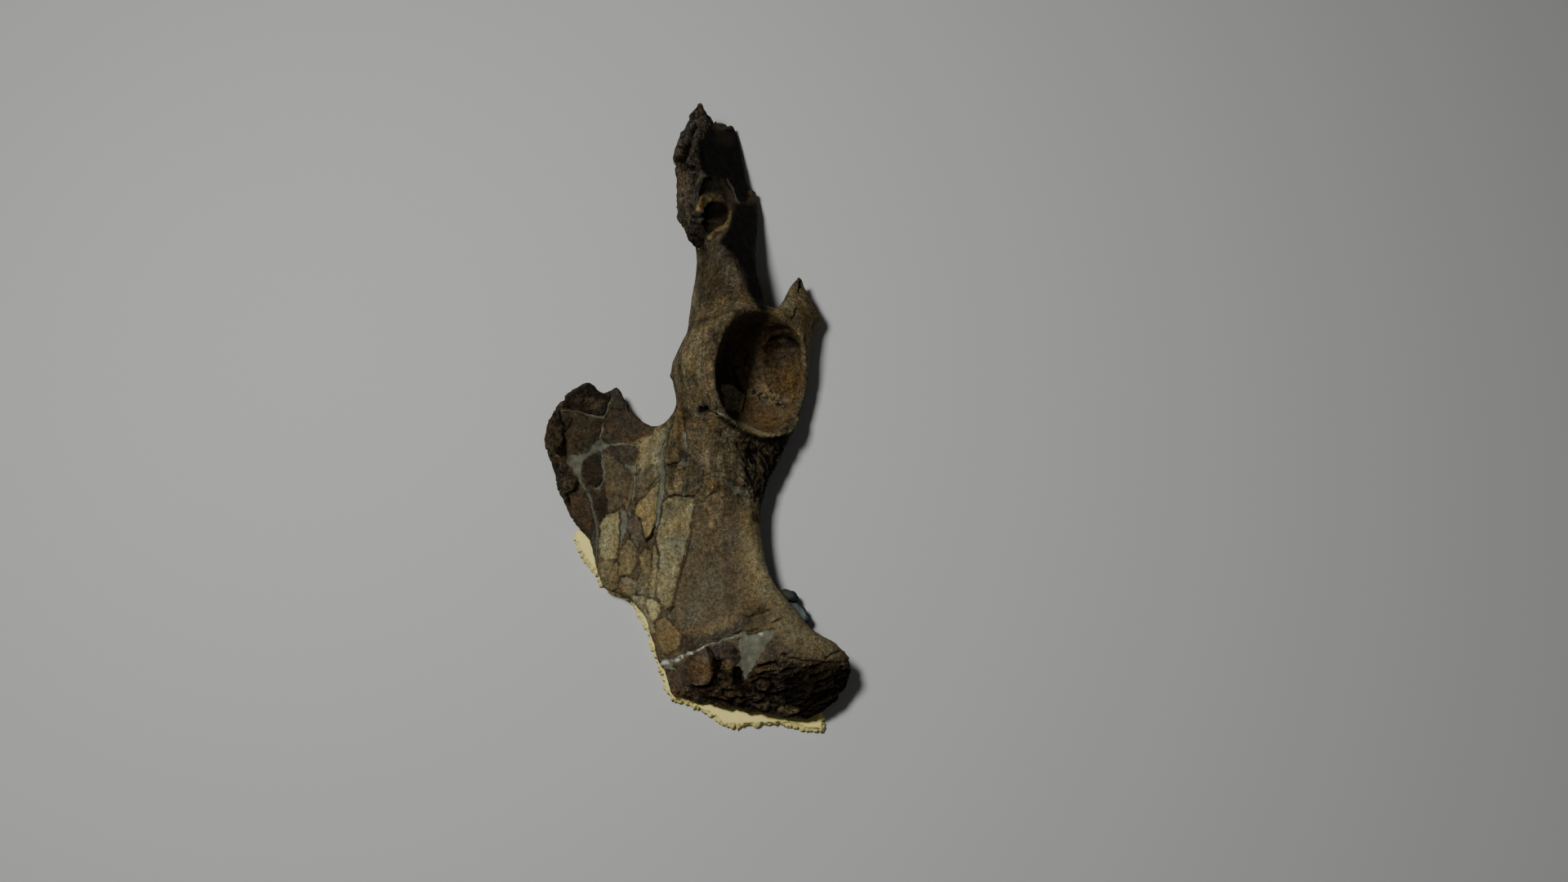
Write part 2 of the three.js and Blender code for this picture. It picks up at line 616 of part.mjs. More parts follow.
const pelvis = new THREE.Group();
pelvis.add(asMesh('innominate_bone', bone, fossilBone));
pelvis.add(asMesh('plaster_bed', bed, plaster));
pelvis.add(asMesh('prop_stone_large', largeStone, greyStone));
pelvis.add(asMesh('prop_stone_small', smallStone, greyStone));

// the origin is the middle of the footprint, on the ground
const middle = new THREE.Box3().setFromObject(pelvis).getCenter(new THREE.Vector3());
pelvis.position.set(-middle.x, -middle.y, 0);

const root = new THREE.Group();
root.add(pelvis);
export default root;
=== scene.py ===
import math

import bmesh
import bpy
import numpy as np
from mathutils import Matrix, Vector


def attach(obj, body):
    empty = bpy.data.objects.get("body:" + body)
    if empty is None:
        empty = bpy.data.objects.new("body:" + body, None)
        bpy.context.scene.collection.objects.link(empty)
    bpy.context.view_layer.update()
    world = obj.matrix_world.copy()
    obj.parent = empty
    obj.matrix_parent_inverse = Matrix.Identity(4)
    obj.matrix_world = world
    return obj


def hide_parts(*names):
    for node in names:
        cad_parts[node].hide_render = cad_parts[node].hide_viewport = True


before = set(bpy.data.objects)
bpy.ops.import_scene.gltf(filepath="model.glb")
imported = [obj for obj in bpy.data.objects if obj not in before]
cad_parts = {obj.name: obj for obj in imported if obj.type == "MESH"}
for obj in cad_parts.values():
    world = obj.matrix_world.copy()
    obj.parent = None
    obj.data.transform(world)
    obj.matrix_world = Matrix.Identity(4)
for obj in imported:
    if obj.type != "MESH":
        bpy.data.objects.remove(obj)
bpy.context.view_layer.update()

MM = 0.001

# ---- camera: it looks down on the bone, which lies with its outer face up ----
TARGET = np.array([0.12690, -0.06736, 0.08179])
CAMERA_DISTANCE = 2.6
CAMERA_ELEVATION = math.radians(72)
SENSOR_WIDTH = 36.0
FRAME_SIZE = (1920, 1080)
PIXEL = 1.15 * MM                    # what one pixel of the frame spans at the target
TO_CAMERA = np.array([0, -math.cos(CAMERA_ELEVATION), math.sin(CAMERA_ELEVATION)])
CAMERA_UP = np.array([0, math.sin(CAMERA_ELEVATION), math.cos(CAMERA_ELEVATION)])

# ---- studio: each light's name, direction, distance and size in metres, and watts ----
LIGHTS = [("key", (-0.30, 0.06, 0.952), 2.6, 0.5, 56), ("fill", (0.5, -0.7, 0.8), 3.4, 2.6, 3)]
SKY = (0.9, 0.94, 1, 1)
SKY_STRENGTH = 0.035
FLOOR_GREY = (0.50, 0.50, 0.49, 1)
FLOOR_REACH = 6.0

# ---- the hip socket, in the row frame ----
CUP_MOUTH = np.array([0.0924, 0.0236, 0.112])
CUP_AXIS = np.array([0.707, -0.218, 0.672])
CUP_RADIUS = 84 * MM
CUP_SET_OUT = 8 * MM
FOSSA_UPPER = np.array([0.1174, 0.0656, 0.082])
FOSSA_LOWER = np.array([0.1194, 0.0236, 0.070])
FOSSA_RADIUS = 40 * MM

# ---- mesh detail ----
BONE_VOXEL = 4.5 * MM
BED_VOXEL = 2.2 * MM
STONE_VOXEL = 1.6 * MM
MERGE_REACH = 0.01 * MM              # points of a node's mesh closer than this are one
MOST_TRIANGLES = 190000
RELAX_PULLS = (0.5, -0.51)           # each round pulls points together and pushes them back
BED_RINGS = 10                       # rings of faces that the torn sheet's teeth fade over
# how far a face turns to the camera, as the cosine of the angle between them
FACING = (0.0, 0.13)                 # where the seen side starts and where it is whole
SEEN, SEEN_LINE, SEEN_ROUGH = 0.12, 0.1, 0.05    # where faces, drawn lines and rough bone become finer
FINE_REACH = 1.3                     # pixels beside a drawn line that get the finest faces
LINE_MARGIN = 25                     # pixels round a line within which distances to it are worked out
FAR = 1e3                            # stands for any greater distance

# ---- relief, in mm ----
JOINT_DEPTH = 1.6                    # the dark edge of a fragment
CRACK_DEPTH = 3.4
LIP_DEPTH = 2.4                      # the groove under the socket's lip
CUP_PLATE_HEIGHT = 1.3
WEDGE_HEIGHT = 4.5                   # how far the crest's wedge stands proud
BED_SLOPE = 3.0                      # how far the torn sheet's upper edge lies back

# ---- colours, linear ----
# white filler, and the painted highlight on the filler
CHALK_AND_HIGHLIGHT = (0.56, 0.57, 0.48)
CREAM = (0.88, 0.77, 0.28)
DUSTY_CREAM = (0.52, 0.44, 0.22)
FILLER = (0.118, 0.120, 0.084)
FILLER_PALE = (0.230, 0.235, 0.180)
PALE = (0.235, 0.194, 0.098)
STRAW = (0.440, 0.345, 0.150)
YELLOW = (0.285, 0.230, 0.106)
ROSE_GOLD = (0.255, 0.190, 0.084)
LIGHT_TAN = (0.178, 0.136, 0.066)
GOLD = (0.200, 0.138, 0.054)
ORANGE = (0.176, 0.120, 0.052)
ROSE_TAN = (0.215, 0.156, 0.083)
MAUVE_TAN = (0.120, 0.095, 0.062)
PLATE_GREY = (0.280, 0.232, 0.150)
TAN = (0.116, 0.083, 0.040)
PINK_TAN = (0.092, 0.064, 0.037)
RUST = (0.101, 0.066, 0.030)
FOSSA_BROWN = (0.076, 0.048, 0.018)
WALL_TAN = (0.074, 0.051, 0.022)
ASHEN = (0.054, 0.045, 0.033)
MAUVE = (0.057, 0.042, 0.030)
UMBER = (0.026, 0.019, 0.011)
FIELD = (0.105, 0.078, 0.041)
BLADE_FIELD = (0.118, 0.089, 0.049)
# painted highlight along the standing wedge's ridge
RIDGE_HIGHLIGHT = (0.132, 0.094, 0.051)
REDDISH = (0.064, 0.040, 0.021)
PLATE_BROWN = (0.060, 0.042, 0.025)
CHESTNUT = (0.112, 0.077, 0.041)
GREY_BROWN = (0.052, 0.042, 0.027)
LOBE_BROWN = (0.046, 0.032, 0.016)
CHOCOLATE = (0.037, 0.026, 0.014)
DARK = (0.017, 0.012, 0.007)
BLACK = (0.004, 0.003, 0.002)
# each stone: node, seed of its noise, colour of its top with painted light, colour of its sides with painted
# shade
STONES = [("prop_stone_large", 101, (0.112, 0.135, 0.122), (0.016, 0.021, 0.030)),
          ("prop_stone_small", 121, (0.042, 0.047, 0.038), (0.014, 0.018, 0.020))]

# ---- fades over the bone: where each is none and where it is whole, in pixels of the frame ----
LOBE_SIDE, LOBE_FOOT, LOBE_FILLER = (800, 740), (690, 620), (752, 730)
SHAFT_SIDE, SHAFT_TOP, SHAFT_FOOT = (850, 862), (296, 306), (345, 318)
NECK_SIDE, NECK_TOP, NECK_FOOT, NECK_DARKER = (800, 830), (292, 310), (640, 600), (490, 520)
BLADE_GRAIN, BLADE_CALM = (560, 640), (600, 640)
WEDGE_CLIMB, WEDGE_LEFT, WEDGE_RIGHT = (844, 867), (856, 845), (869, 872)
WEDGE_RIDGE, WEDGE_TOP = (852, 865), (842, 812)
# fades along a leaning line: none and whole across x at one level, lean, and that level
CREST_LUMPS = (945, 920, 0.3, 830)
CREST_LIGHT = (1000, 935, 1.2, 820)
# the same on the side that the camera doesn't see, in mm of the row frame
BACK_CREST, BACK_CREST_DOWN = (-40, 10, 0.2, -450), (-345, -385)
BACK_LOBE, BACK_LOBE_DOWN = (-96, -118, 0.25, -80), (70, 30)
BACK_END_ACROSS, BACK_END_UP = (60, 30), (235, 262)
# spots: the ischium's pointed tip with how far down it tapers and by what share, and a painted highlight on
# the filler
TIP, TIP_REACH, TIP_TAPER = (858, 129), 13, 0.65
HIGHLIGHT_SPOT, HIGHLIGHT_FADE = (932, 777), (4.2, 1)

# Places below are pixels of the camera's 1920 x 1080 frame, picked on the side that faces it.
# An outline is a closed run of x,y pairs; a line is a run of x,y,w, where w is half its width there.

# single outlines and lines that the tables or the functions below name
WEDGE = [842,811, 855,801, 866,792, 869,801, 872,814, 873,826, 871,835, 862,839, 851,839, 842,833, 838,822]
LOOSE_PLATE = [882,470, 899,469, 905,478, 912,480, 913,488, 909,503, 897,505, 888,502, 884,490]
LIP_PLATE = [898,452, 906,450, 912,459, 915,471, 912,478, 905,477, 901,469]
UNDERCUT = [912,542, 966,538, 955,568, 941,608, 933,640, 921,640, 917,604, 913,578, 907,560]
SHARP_END = [820,110, 880,110, 910,150, 930,236, 928,250, 905,290, 868,306, 835,306]
LIP_SHADOW = [882,514,0, 897,521,0, 912,531,0, 927,537,0, 942,540,0, 958,538,0, 972,531,0]
CUP_CRUST = [918,479,2.6, 928,482,4.4, 936,488,4.6, 946,491,3.8, 956,494,2.6, 960,498,1.6]
FILLER_STRAND = [810,813,1.6, 820,810,2.6, 832,806,2.4, 844,800,1.4, 856,795,0.9, 866,791,0.6]

# fragments: colour, height in mm against their neighbours, outline
PLATES = [
    # the lobe
    (DARK, 0.6, [690,490, 700,480, 713,472, 722,470, 731,474, 737,481, 747,483, 748,489, 741,508, 732,510,
        720,507, 707,502, 688,501]),
    (LOBE_BROWN, 0.9, [686,504, 706,504, 720,509, 732,512, 737,516, 736,528, 728,538, 720,547, 708,552,
        698,551, 693,540, 691,526, 686,512]),
    (CHOCOLATE, 0.2, [675,498, 685,503, 690,526, 687,540, 680,560, 668,548, 664,530, 668,505]),
    (GREY_BROWN, -0.5, [749,483, 752,472, 764,482, 771,502, 777,509, 764,502, 746,500]),
    (PLATE_BROWN, 0.4, [746,500, 764,502, 775,509, 790,512, 803,522, 798,531, 784,536, 768,543, 750,544,
        738,538, 741,520]),
    (GREY_BROWN, 0.0, [739,550, 750,546, 772,544, 781,549, 780,560, 772,568, 764,568, 754,558, 746,554]),
    (UMBER, 0.5, [714,566, 724,556, 732,556, 735,564, 738,578, 738,588, 732,596, 724,596, 718,590,
        713,578]),
    (CHOCOLATE, 0.2, [723,600, 730,598, 739,590, 743,606, 742,621, 740,632, 734,640, 729,632, 724,618]),
    (FIELD, 0.3, [739,552, 750,558, 762,568, 768,578, 772,589, 770,600, 766,616, 758,625, 744,628, 743,606,
        738,588, 736,568]),
    (TAN, -0.2, [772,589, 776,584, 778,594, 772,620, 771,632, 768,642, 766,632, 766,616]),
    (REDDISH, 0.3, [698,604, 718,606, 722,620, 726,636, 727,648, 721,656, 708,646, 696,632, 688,616]),
    (CHOCOLATE, -0.3, [677,560, 691,562, 695,570, 699,578, 708,587, 709,600, 698,602, 690,612, 680,596,
        672,576]),
    (YELLOW, 0.6, [735,643, 742,630, 758,626, 759,640, 758,656, 756,676, 755,684, 741,687, 735,680,
        733,660]),
    # the blade
    (MAUVE_TAN, 0.2, [769,637, 778,632, 786,642, 788,660, 780,670, 772,660, 768,648]),
    (LIGHT_TAN, 0.5, [760,672, 769,661, 778,666, 782,678, 780,692, 772,704, 758,706, 757,686]),
    (ROSE_GOLD, 0.8, [778,629, 780,616, 789,608, 801,594, 808,588, 807,610, 804,632, 801,644, 794,658,
        790,658, 784,636]),
    (FIELD, -0.3, [791,568, 804,570, 807,580, 798,593, 788,606, 778,614, 777,594, 780,578]),
    (PALE, 0.3, [782,545, 788,538, 800,534, 816,520, 815,531, 809,552, 804,570, 791,568, 782,568]),
    (ORANGE, 0.5, [820,528, 826,508, 832,490, 838,526, 840,544, 837,565, 830,566, 815,569, 809,562,
        812,548]),
    (LIGHT_TAN, 0.3, [815,572, 831,571, 837,573, 838,588, 836,605, 826,605, 817,607, 812,600, 813,582]),
    (TAN, 0.0, [840,567, 848,575, 855,583, 856,601, 848,608, 838,607, 838,588]),
    (PALE, 0.8, [812,614, 820,608, 830,606, 842,608, 849,609, 848,626, 846,640, 842,660, 838,680, 832,704,
        825,728, 820,744, 815,745, 808,737, 803,730, 804,719, 804,704, 805,690, 807,680, 804,670, 802,660,
        806,644, 810,630]),
    (PALE, 0.1, [800,666, 807,682, 806,698, 803,718, 802,731, 794,732, 794,720, 798,698, 797,680]),
    (LIGHT_TAN, -0.2, [790,670, 798,676, 798,698, 794,718, 793,730, 780,728, 780,712, 784,698, 782,680]),
    (LIGHT_TAN, -0.1, [760,707, 772,706, 780,712, 780,727, 769,728, 756,720]),
    (LIGHT_TAN, 0.1, [735,688, 754,685, 748,698, 742,718, 734,712, 731,700]),
    (LIGHT_TAN, 0.3, [754,685, 758,692, 756,708, 760,720, 748,725, 741,720, 748,698]),
    (PALE, 0.2, [772,728, 791,731, 792,744, 796,757, 801,764, 803,775, 795,778, 786,758, 776,741]),
    (STRAW, 1.3, [792,734, 800,732, 808,740, 807,751, 804,758, 799,761, 794,755, 791,744]),
    (ORANGE, 0.9, [804,760, 814,755, 821,760, 829,768, 835,779, 835,785, 829,796, 817,803, 811,801, 806,788,
        802,773]),
    (GREY_BROWN, 0.0, [836,779, 850,787, 858,786, 847,796, 836,800, 831,798]),
    (CHESTNUT, 3.4, WEDGE),
    (PINK_TAN, 0.3, [811,822, 827,821, 834,811, 838,822, 842,833, 838,848, 823,846, 812,844]),
]
# filler that fills whole gaps, as outlines
FILLER_PATCHES = [
    [693,561, 698,556, 708,557, 720,552, 729,540, 736,536, 738,542, 749,543, 740,550, 735,552, 726,556,
        714,564, 712,576, 713,588, 718,598, 722,600, 725,616, 730,632, 734,642, 731,646, 727,638, 722,616,
        718,606, 710,590, 703,580, 699,572, 694,568],
    [764,568, 772,569, 780,568, 780,576, 776,582, 772,578, 768,572],
    [760,621, 766,624, 769,640, 766,652, 762,664, 758,676, 759,656, 760,640],
    [759,707, 768,709, 767,715, 761,714],
    [903,784, 911,777, 926,775, 939,770, 948,769, 945,781, 937,792, 929,807, 922,818, 914,829, 911,833,
        909,822, 900,814, 907,807, 905,796],
    [809,808, 820,806, 834,804, 832,809, 826,814, 812,818],
    [816,748, 822,752, 823,758, 818,757],
]
# filler in joints
FILLER_LINES = [
    [819,526,1.2, 815,541,2.2, 810,556,2.8, 809,566,3.4, 811,582,3.6, 811,596,3.4, 809,610,3.2, 806,626,2.6,
        805,640,2.0, 801,648,1.2],
    [837,528,0.8, 839,540,1.2, 839,553,1.2, 837,565,1.5],
    [833,567,3.0, 841,568,3.4],
    [838,574,0.8, 838,588,1.2, 837,606,1.0],
    [872,584,0.8, 886,586,1.2, 892,592,2.5, 900,600,3.2, 909,602,3.0, 918,601,2.0],
    [688,503,0.8, 706,503,1.0, 720,508,1.4, 732,510,1.8, 738,511,1.8, 741,508,1.2, 745,496,1.0,
        748,487,0.8],
    [738,516,1.0, 737,528,1.2, 735,537,2.0, 733,545,3.0],
    [736,552,1.6, 737,565,1.2, 739,578,1.2, 739,588,1.2, 734,597,1.6, 728,598,1.6],
    [776,582,1.4, 777,592,1.2, 774,612,1.4, 771,630,1.2],
    [749,544,1.0, 768,544,0.8, 782,547,1.0],
    [731,646,1.6, 730,658,1.2, 731,674,1.2, 732,688,0.8],
    [836,804,2.2, 847,799,1.6, 855,794,1.6, 866,790,1.6, 881,785,1.5, 896,781,1.8, 905,778,2.4,
        912,775,2.4],
    [809,818,1.3, 818,817,1.8, 828,819,1.3],
    [877,488,0.8, 879,496,1.1, 878,504,0.9, 885,508,1.2, 894,511,0.7],
    [890,219,1.0, 897,231,1.3, 900,242,1.4, 904,248,1.0],
]
# open cracks
CRACKS = [
    [815,570,0.8, 822,568,1.0, 830,566,0.7],
    [818,607,0.4, 826,605,0.7, 838,608,0.5, 849,608,0.4],
    [862,611,0.7, 868,606,1.0, 875,603,0.8],
    [901,595,0.6, 914,595,0.9],
    [866,502,0.6, 873,506,1.0, 880,508,0.7],
    [801,645,1.0, 797,655,1.9, 791,662,1.6],
    [685,502,1.0, 686,514,0.8, 692,522,1.0, 690,530,1.6, 691,540,1.8],
    [701,513,0.6, 696,524,0.8, 691,530,1.0],
    [704,539,0.5, 706,548,0.7, 712,551,0.5],
    [769,498,1.2, 771,504,1.4],
    [849,640,0.2, 843,672,0.5, 834,704,0.6, 826,731,0.4, 822,750,0.8],
    [914,754,0.7, 919,754,1.1, 924,752,0.7],
    [933,750,0.8, 940,746,1.0],
    [945,763,0.8, 951,759,0.9, 958,755,0.7],
    [897,776,0.8, 903,775,1.3, 909,771,0.9],
    [914,773,0.6, 929,771,0.8],
    [873,783,0.6, 882,780,0.8],
    [866,792,0.6, 872,800,1.2, 877,812,1.4],
    [918,830,0.8, 926,827,1.0, 940,823,1.0, 950,820,0.8],
    [957,801,0.5, 985,809,0.8, 1010,811,0.7, 1036,811,0.6],
    [1012,806,0.7, 1018,801,0.9, 1028,797,0.8],
    [976,376,0.6, 973,383,0.9, 970,390,0.6],
    [981,344,1.6, 981,350,1.4, 978,357,0.8],
    [841,206,1.0, 846,204,1.4],
    [858,222,0.4, 852,234,0.8, 851,246,0.5],
    [845,287,0.7, 853,289,1.2, 862,293,0.8],
    [898,452,0.5, 901,462,0.7, 905,472,0.9, 909,479,0.9, 913,486,0.9, 910,502,1.0],
    [881,470,0.4, 890,470,0.5, 899,471,0.5, 905,478,0.6],
    [816,746,0.7, 821,748,0.9, 826,742,0.6],
]
# broad shallow grooves and ledges: height in mm, softness, colour, line
BANDS = [
    (2.6, 1.0, GOLD, [894,259,0.6, 894,267,1.4, 891,275,2.0, 883,280,2.2, 875,285,2.2, 869,292,1.8]),
    (1.6, 1.3, PALE, [882,507,1.2, 900,516,2.2, 914,524,2.6, 928,531,2.8, 944,534,2.8, 960,532,2.6,
        971,525,2.0, 978,512,1.2]),
    (-1.6, 2.4, CHOCOLATE, [938,440,1.4, 936,455,1.6, 940,470,1.0, 946,480,0.4]),
    (1.6, 2.4, PINK_TAN, [933,424,1.2, 931,440,2.0, 930,458,2.0, 933,470,1.4]),
    # a groove along the arch over the ligament's hollow, painted black as the shadow under its edge
    (-1.4, 1.6, BLACK, [939,430,0.8, 940,420,1.4, 948,415,2.2, 959,413,2.6, 970,417,2.0, 978,423,1.0]),
    (-1.4, 2.6, GREY_BROWN, [838,783,1.0, 860,782,1.8, 885,774,1.6, 905,767,1.0]),
    (1.0, 2.4, CHOCOLATE, [916,758,2.0, 926,751,2.4, 936,744,1.6]),
]
# slabs, lumps and gaps with their own edge: height in mm, softness, colour, its share, outline
RELIEF = [
    # the broken ischium's left side
    (2.0, 1.6, ASHEN, 0.9, [844,149, 850,148, 847,160, 842,170, 834,178, 832,190, 827,196, 826,184,
        836,166]),
    (2.8, 1.6, GREY_BROWN, 0.85, [852,158, 858,160, 856,170, 851,182, 850,192, 845,199, 838,200, 840,188,
        845,178, 850,170]),
    (1.6, 1.5, ASHEN, 0.8, [855,144, 862,142, 869,147, 869,154, 862,159, 854,157, 850,152]),
    # crevices cut deep and painted black, standing in for the shade that falls into them
    (-7.0, 0.9, BLACK, 1.0, [851,151, 855,156, 852,166, 849,173, 848,181, 845,190, 840,198, 834,203,
        826,202, 829,194, 833,189, 832,180, 839,174, 843,167, 846,158]),
    (-4.0, 1.4, BLACK, 0.9, [859,166, 862,172, 857,182, 855,192, 853,188, 855,177]),
    (-4.0, 1.2, BLACK, 0.9, [844,204, 848,202, 851,204, 849,208, 845,207]),
    (0.5, 3.0, PINK_TAN, 0.6, [832,208, 844,210, 847,222, 844,244, 846,266, 840,270, 832,258, 829,242,
        831,224]),
    (1.4, 1.4, ASHEN, 0.85, [868,214, 857,217, 851,226, 848,238, 845,250, 849,252, 853,240, 856,230,
        861,221, 870,217]),
    # its steep right side, near black with painted shade where it turns from the light, and flat top
    (0.0, 1.6, BLACK, 0.97, [868,159, 878,163, 889,158, 900,158, 906,172, 913,205, 919,236, 914,248,
        903,247, 896,232, 888,220, 878,213, 866,214, 858,206, 856,190, 859,176, 864,164]),
    (0.0, 3.0, REDDISH, 0.25, [875,163, 898,161, 902,172, 898,178, 878,176]),
    (0.5, 0.9, GREY_BROWN, 0.9, [871,151, 879,150, 889,151, 899,154, 892,157, 886,156, 880,158, 874,157]),
    # painted shade down the shaft's right side
    (0.0, 2.2, BLACK, 0.95, [880,297, 889,285, 896,274, 898,262, 900,250, 926,250, 928,296, 929,331,
        934,366, 939,381, 930,379, 917,358, 912,332, 897,310]),
    (2.0, 1.2, PINK_TAN, 0.8, [915,235, 920,233, 925,237, 924,241, 917,240]),
    # the hollow between them, darkened with painted shade in its recess and a painted shadow under its upper
    # edge
    (-5.5, 3.6, DARK, 0.85, [862,219, 872,217, 882,220, 890,227, 893,240, 891,256, 886,268, 878,277,
        871,284, 866,282, 864,270, 866,260, 858,258, 855,248, 857,236, 859,226]),
    (1.0, 2.0, GOLD, 0.2, [866,238, 878,235, 886,242, 884,247, 872,249, 866,246]),
    (-3.0, 1.2, BLACK, 0.85, [863,217, 867,219, 861,226, 859,236, 856,240, 856,230]),
    (1.2, 1.2, GOLD, 0.92, [855,246, 859,241, 866,239, 872,243, 871,249, 866,253, 863,258, 857,260,
        852,257]),
    (-7.0, 2.4, BLACK, 0.96, [868,250, 876,248, 884,251, 886,258, 880,264, 873,265, 868,259]),
    (-2.5, 1.6, UMBER, 0.85, [886,262, 890,264, 887,272, 878,279, 868,284, 863,279, 866,268, 876,267]),
    (3.0, 1.0, ASHEN, 0.8, [848,259, 862,258, 864,262, 856,264, 848,264]),
    (-3.0, 0.9, BLACK, 0.85, [848,265, 858,264, 863,265, 858,267, 848,267]),
    (2.4, 1.0, ASHEN, 0.65, [846,268, 858,267, 865,269, 862,271, 852,272, 846,271]),
    (-3.5, 0.9, BLACK, 0.9, [847,272, 856,272, 866,272, 864,275, 856,274, 847,275]),
    (2.0, 1.2, GREY_BROWN, 0.7, [846,276, 856,275, 859,279, 846,281]),
    (2.6, 2.6, DARK, 0.95, [845,284, 856,282, 863,286, 866,293, 862,299, 856,302, 849,299, 844,291]),
    # the lobe's open joints
    (-6.0, 1.6, BLACK, 0.96, [692,536, 695,546, 694,557, 688,559, 681,556, 680,549, 685,547, 689,541]),
    (-5.0, 1.4, BLACK, 0.96, [707,586, 710,590, 708,599, 703,603, 696,604, 698,612, 697,619, 693,616,
        693,605, 702,600, 705,594]),
    # the dark gap at the left of the socket's lip
    (-5.0, 1.2, BLACK, 0.95, [852,504, 854,499, 858,498, 861,500, 866,498, 868,501, 864,504, 858,506,
        854,507]),
    # the crest: what surrounds the standing wedge; the gap at its right and foot is cut deep and painted
    # black as the wedge's shadow
    (-1.5, 1.0, DARK, 0.7, [857,797, 848,806, 841,820, 846,833, 851,839, 845,839, 837,829, 835,818, 841,807,
        850,799]),
    (-5.5, 1.3, BLACK, 0.95, [871,805, 876,808, 884,812, 882,819, 879,826, 879,836, 876,841, 866,844,
        856,844, 850,841, 858,840, 868,838, 872,834, 874,824, 873,812]),
    (1.4, 1.8, MAUVE, 0.85, [869,791, 880,788, 896,788, 903,792, 904,803, 897,808, 886,808, 880,805,
        873,806]),
    (-2.4, 1.2, DARK, 0.8, [896,796, 901,794, 904,799, 901,803, 896,801]),
    (1.2, 1.4, TAN, 0.5, [884,809, 896,807, 899,812, 896,817, 886,818]),
    (1.6, 1.2, CHOCOLATE, 0.8, [884,819, 897,819, 898,838, 890,842, 883,838]),
    (-7.0, 1.2, BLACK, 0.97, [898,818, 905,817, 908,824, 908,839, 903,843, 898,838]),
    (0.6, 1.6, MAUVE, 0.8, [835,811, 843,808, 843,822, 848,838, 842,846, 836,842, 834,824]),
    (2.6, 1.2, PINK_TAN, 0.7, [926,811, 938,806, 950,803, 951,807, 938,811, 928,814]),
    (-3.0, 0.9, BLACK, 0.9, [927,815, 938,812, 951,808, 952,811, 938,815, 928,818]),
    (2.4, 1.2, TAN, 0.6, [926,822, 938,818, 954,814, 959,817, 944,821, 930,826]),
    (-2.5, 1.2, BLACK, 0.85, [920,836, 930,828, 943,830, 949,840, 941,851, 926,850]),
    (3.6, 1.8, REDDISH, 0.8, [924,836, 932,832, 941,834, 944,840, 938,846, 928,845]),
    (-4.0, 1.4, BLACK, 0.9, [930,848, 940,849, 950,846, 952,851, 940,853, 930,851]),
    (3.0, 1.2, TAN, 0.8, [951,868, 958,864, 970,863, 978,867, 974,872, 960,873]),
    (2.2, 1.2, PINK_TAN, 0.7, [958,877, 968,875, 980,875, 984,878, 972,880, 960,880]),
    (2.0, 1.2, GREY_BROWN, 0.8, [842,848, 850,849, 862,853, 874,859, 866,859, 850,854]),
    (-3.0, 1.0, BLACK, 0.9, [856,852, 868,855, 880,854, 896,857, 912,861, 896,861, 878,858, 866,858]),
    (2.0, 1.2, REDDISH, 0.8, [864,860, 878,860, 896,865, 908,868, 890,868, 872,865]),
]
# knobs of bone: x, y, half width and half height in pixels, height in mm, colour
KNOBS = [
    (939, 861, 5, 6, 2.6, TAN), (953, 854, 4, 5, 2.4, PINK_TAN), (925, 852, 4, 3, 2.0, TAN),
    (908, 850, 6, 4, 1.8, CHOCOLATE), (893, 850, 7, 3, 1.8, REDDISH), (958, 840, 5, 7, 2.2, DARK),
    (912, 851, 8, 3, 2.0, PINK_TAN), (821, 461, 4, 4, 2.6, TAN), (847, 213, 6, 7, 2.4, GREY_BROWN),
    (840, 228, 5, 7, 2.2, PINK_TAN), (836, 247, 4, 6, 2.0, PINK_TAN), (851, 150, 5, 9, 2.4, GREY_BROWN),
    (851, 178, 5, 8, 2.6, CHOCOLATE), (837, 168, 4, 7, 2.0, GREY_BROWN), (856, 208, 4, 4, 2.0, GREY_BROWN),
]
# sharp points that the even mesh would round off: x, y and reach in pixels, pull in mm
PEAKS = [
    (858, 130, 9, (0, -1, 0)), (898, 158, 11, (0, 11, 0)), (886, 154, 8, (0, 2, 0)),
    (872, 147, 8, (1, -8, 0)), (879, 149, 7, (0, -4, 0)), (981, 341, 13, (0, 6, 0)),
    (754, 475, 7, (0, 3, 0)), (680, 495, 6, (-3, 3, 0)), (690, 489, 6, (2, -3, 0)), (679, 561, 6, (5, 0, 0)),
    (924, 235, 6, (2, 3, 0)), (827, 203, 6, (4, 0, 0)), (846, 279, 5, (3, 2, 0)),
]
# deep pits: x, y and radius in pixels
PITS = [
    (697, 498, 4.2), (917, 582, 1.6), (837, 240, 1.6), (835, 258, 1.6), (849, 208, 1.6), (913, 560, 2.6),
    (919, 566, 2.0), (905, 606, 1.4), (840, 213, 1.4), (822, 464, 1.8), (997, 447, 1.6), (857, 376, 1.6),
    (853, 380, 1.2), (898, 806, 1.6), (852, 200, 1.4),
]
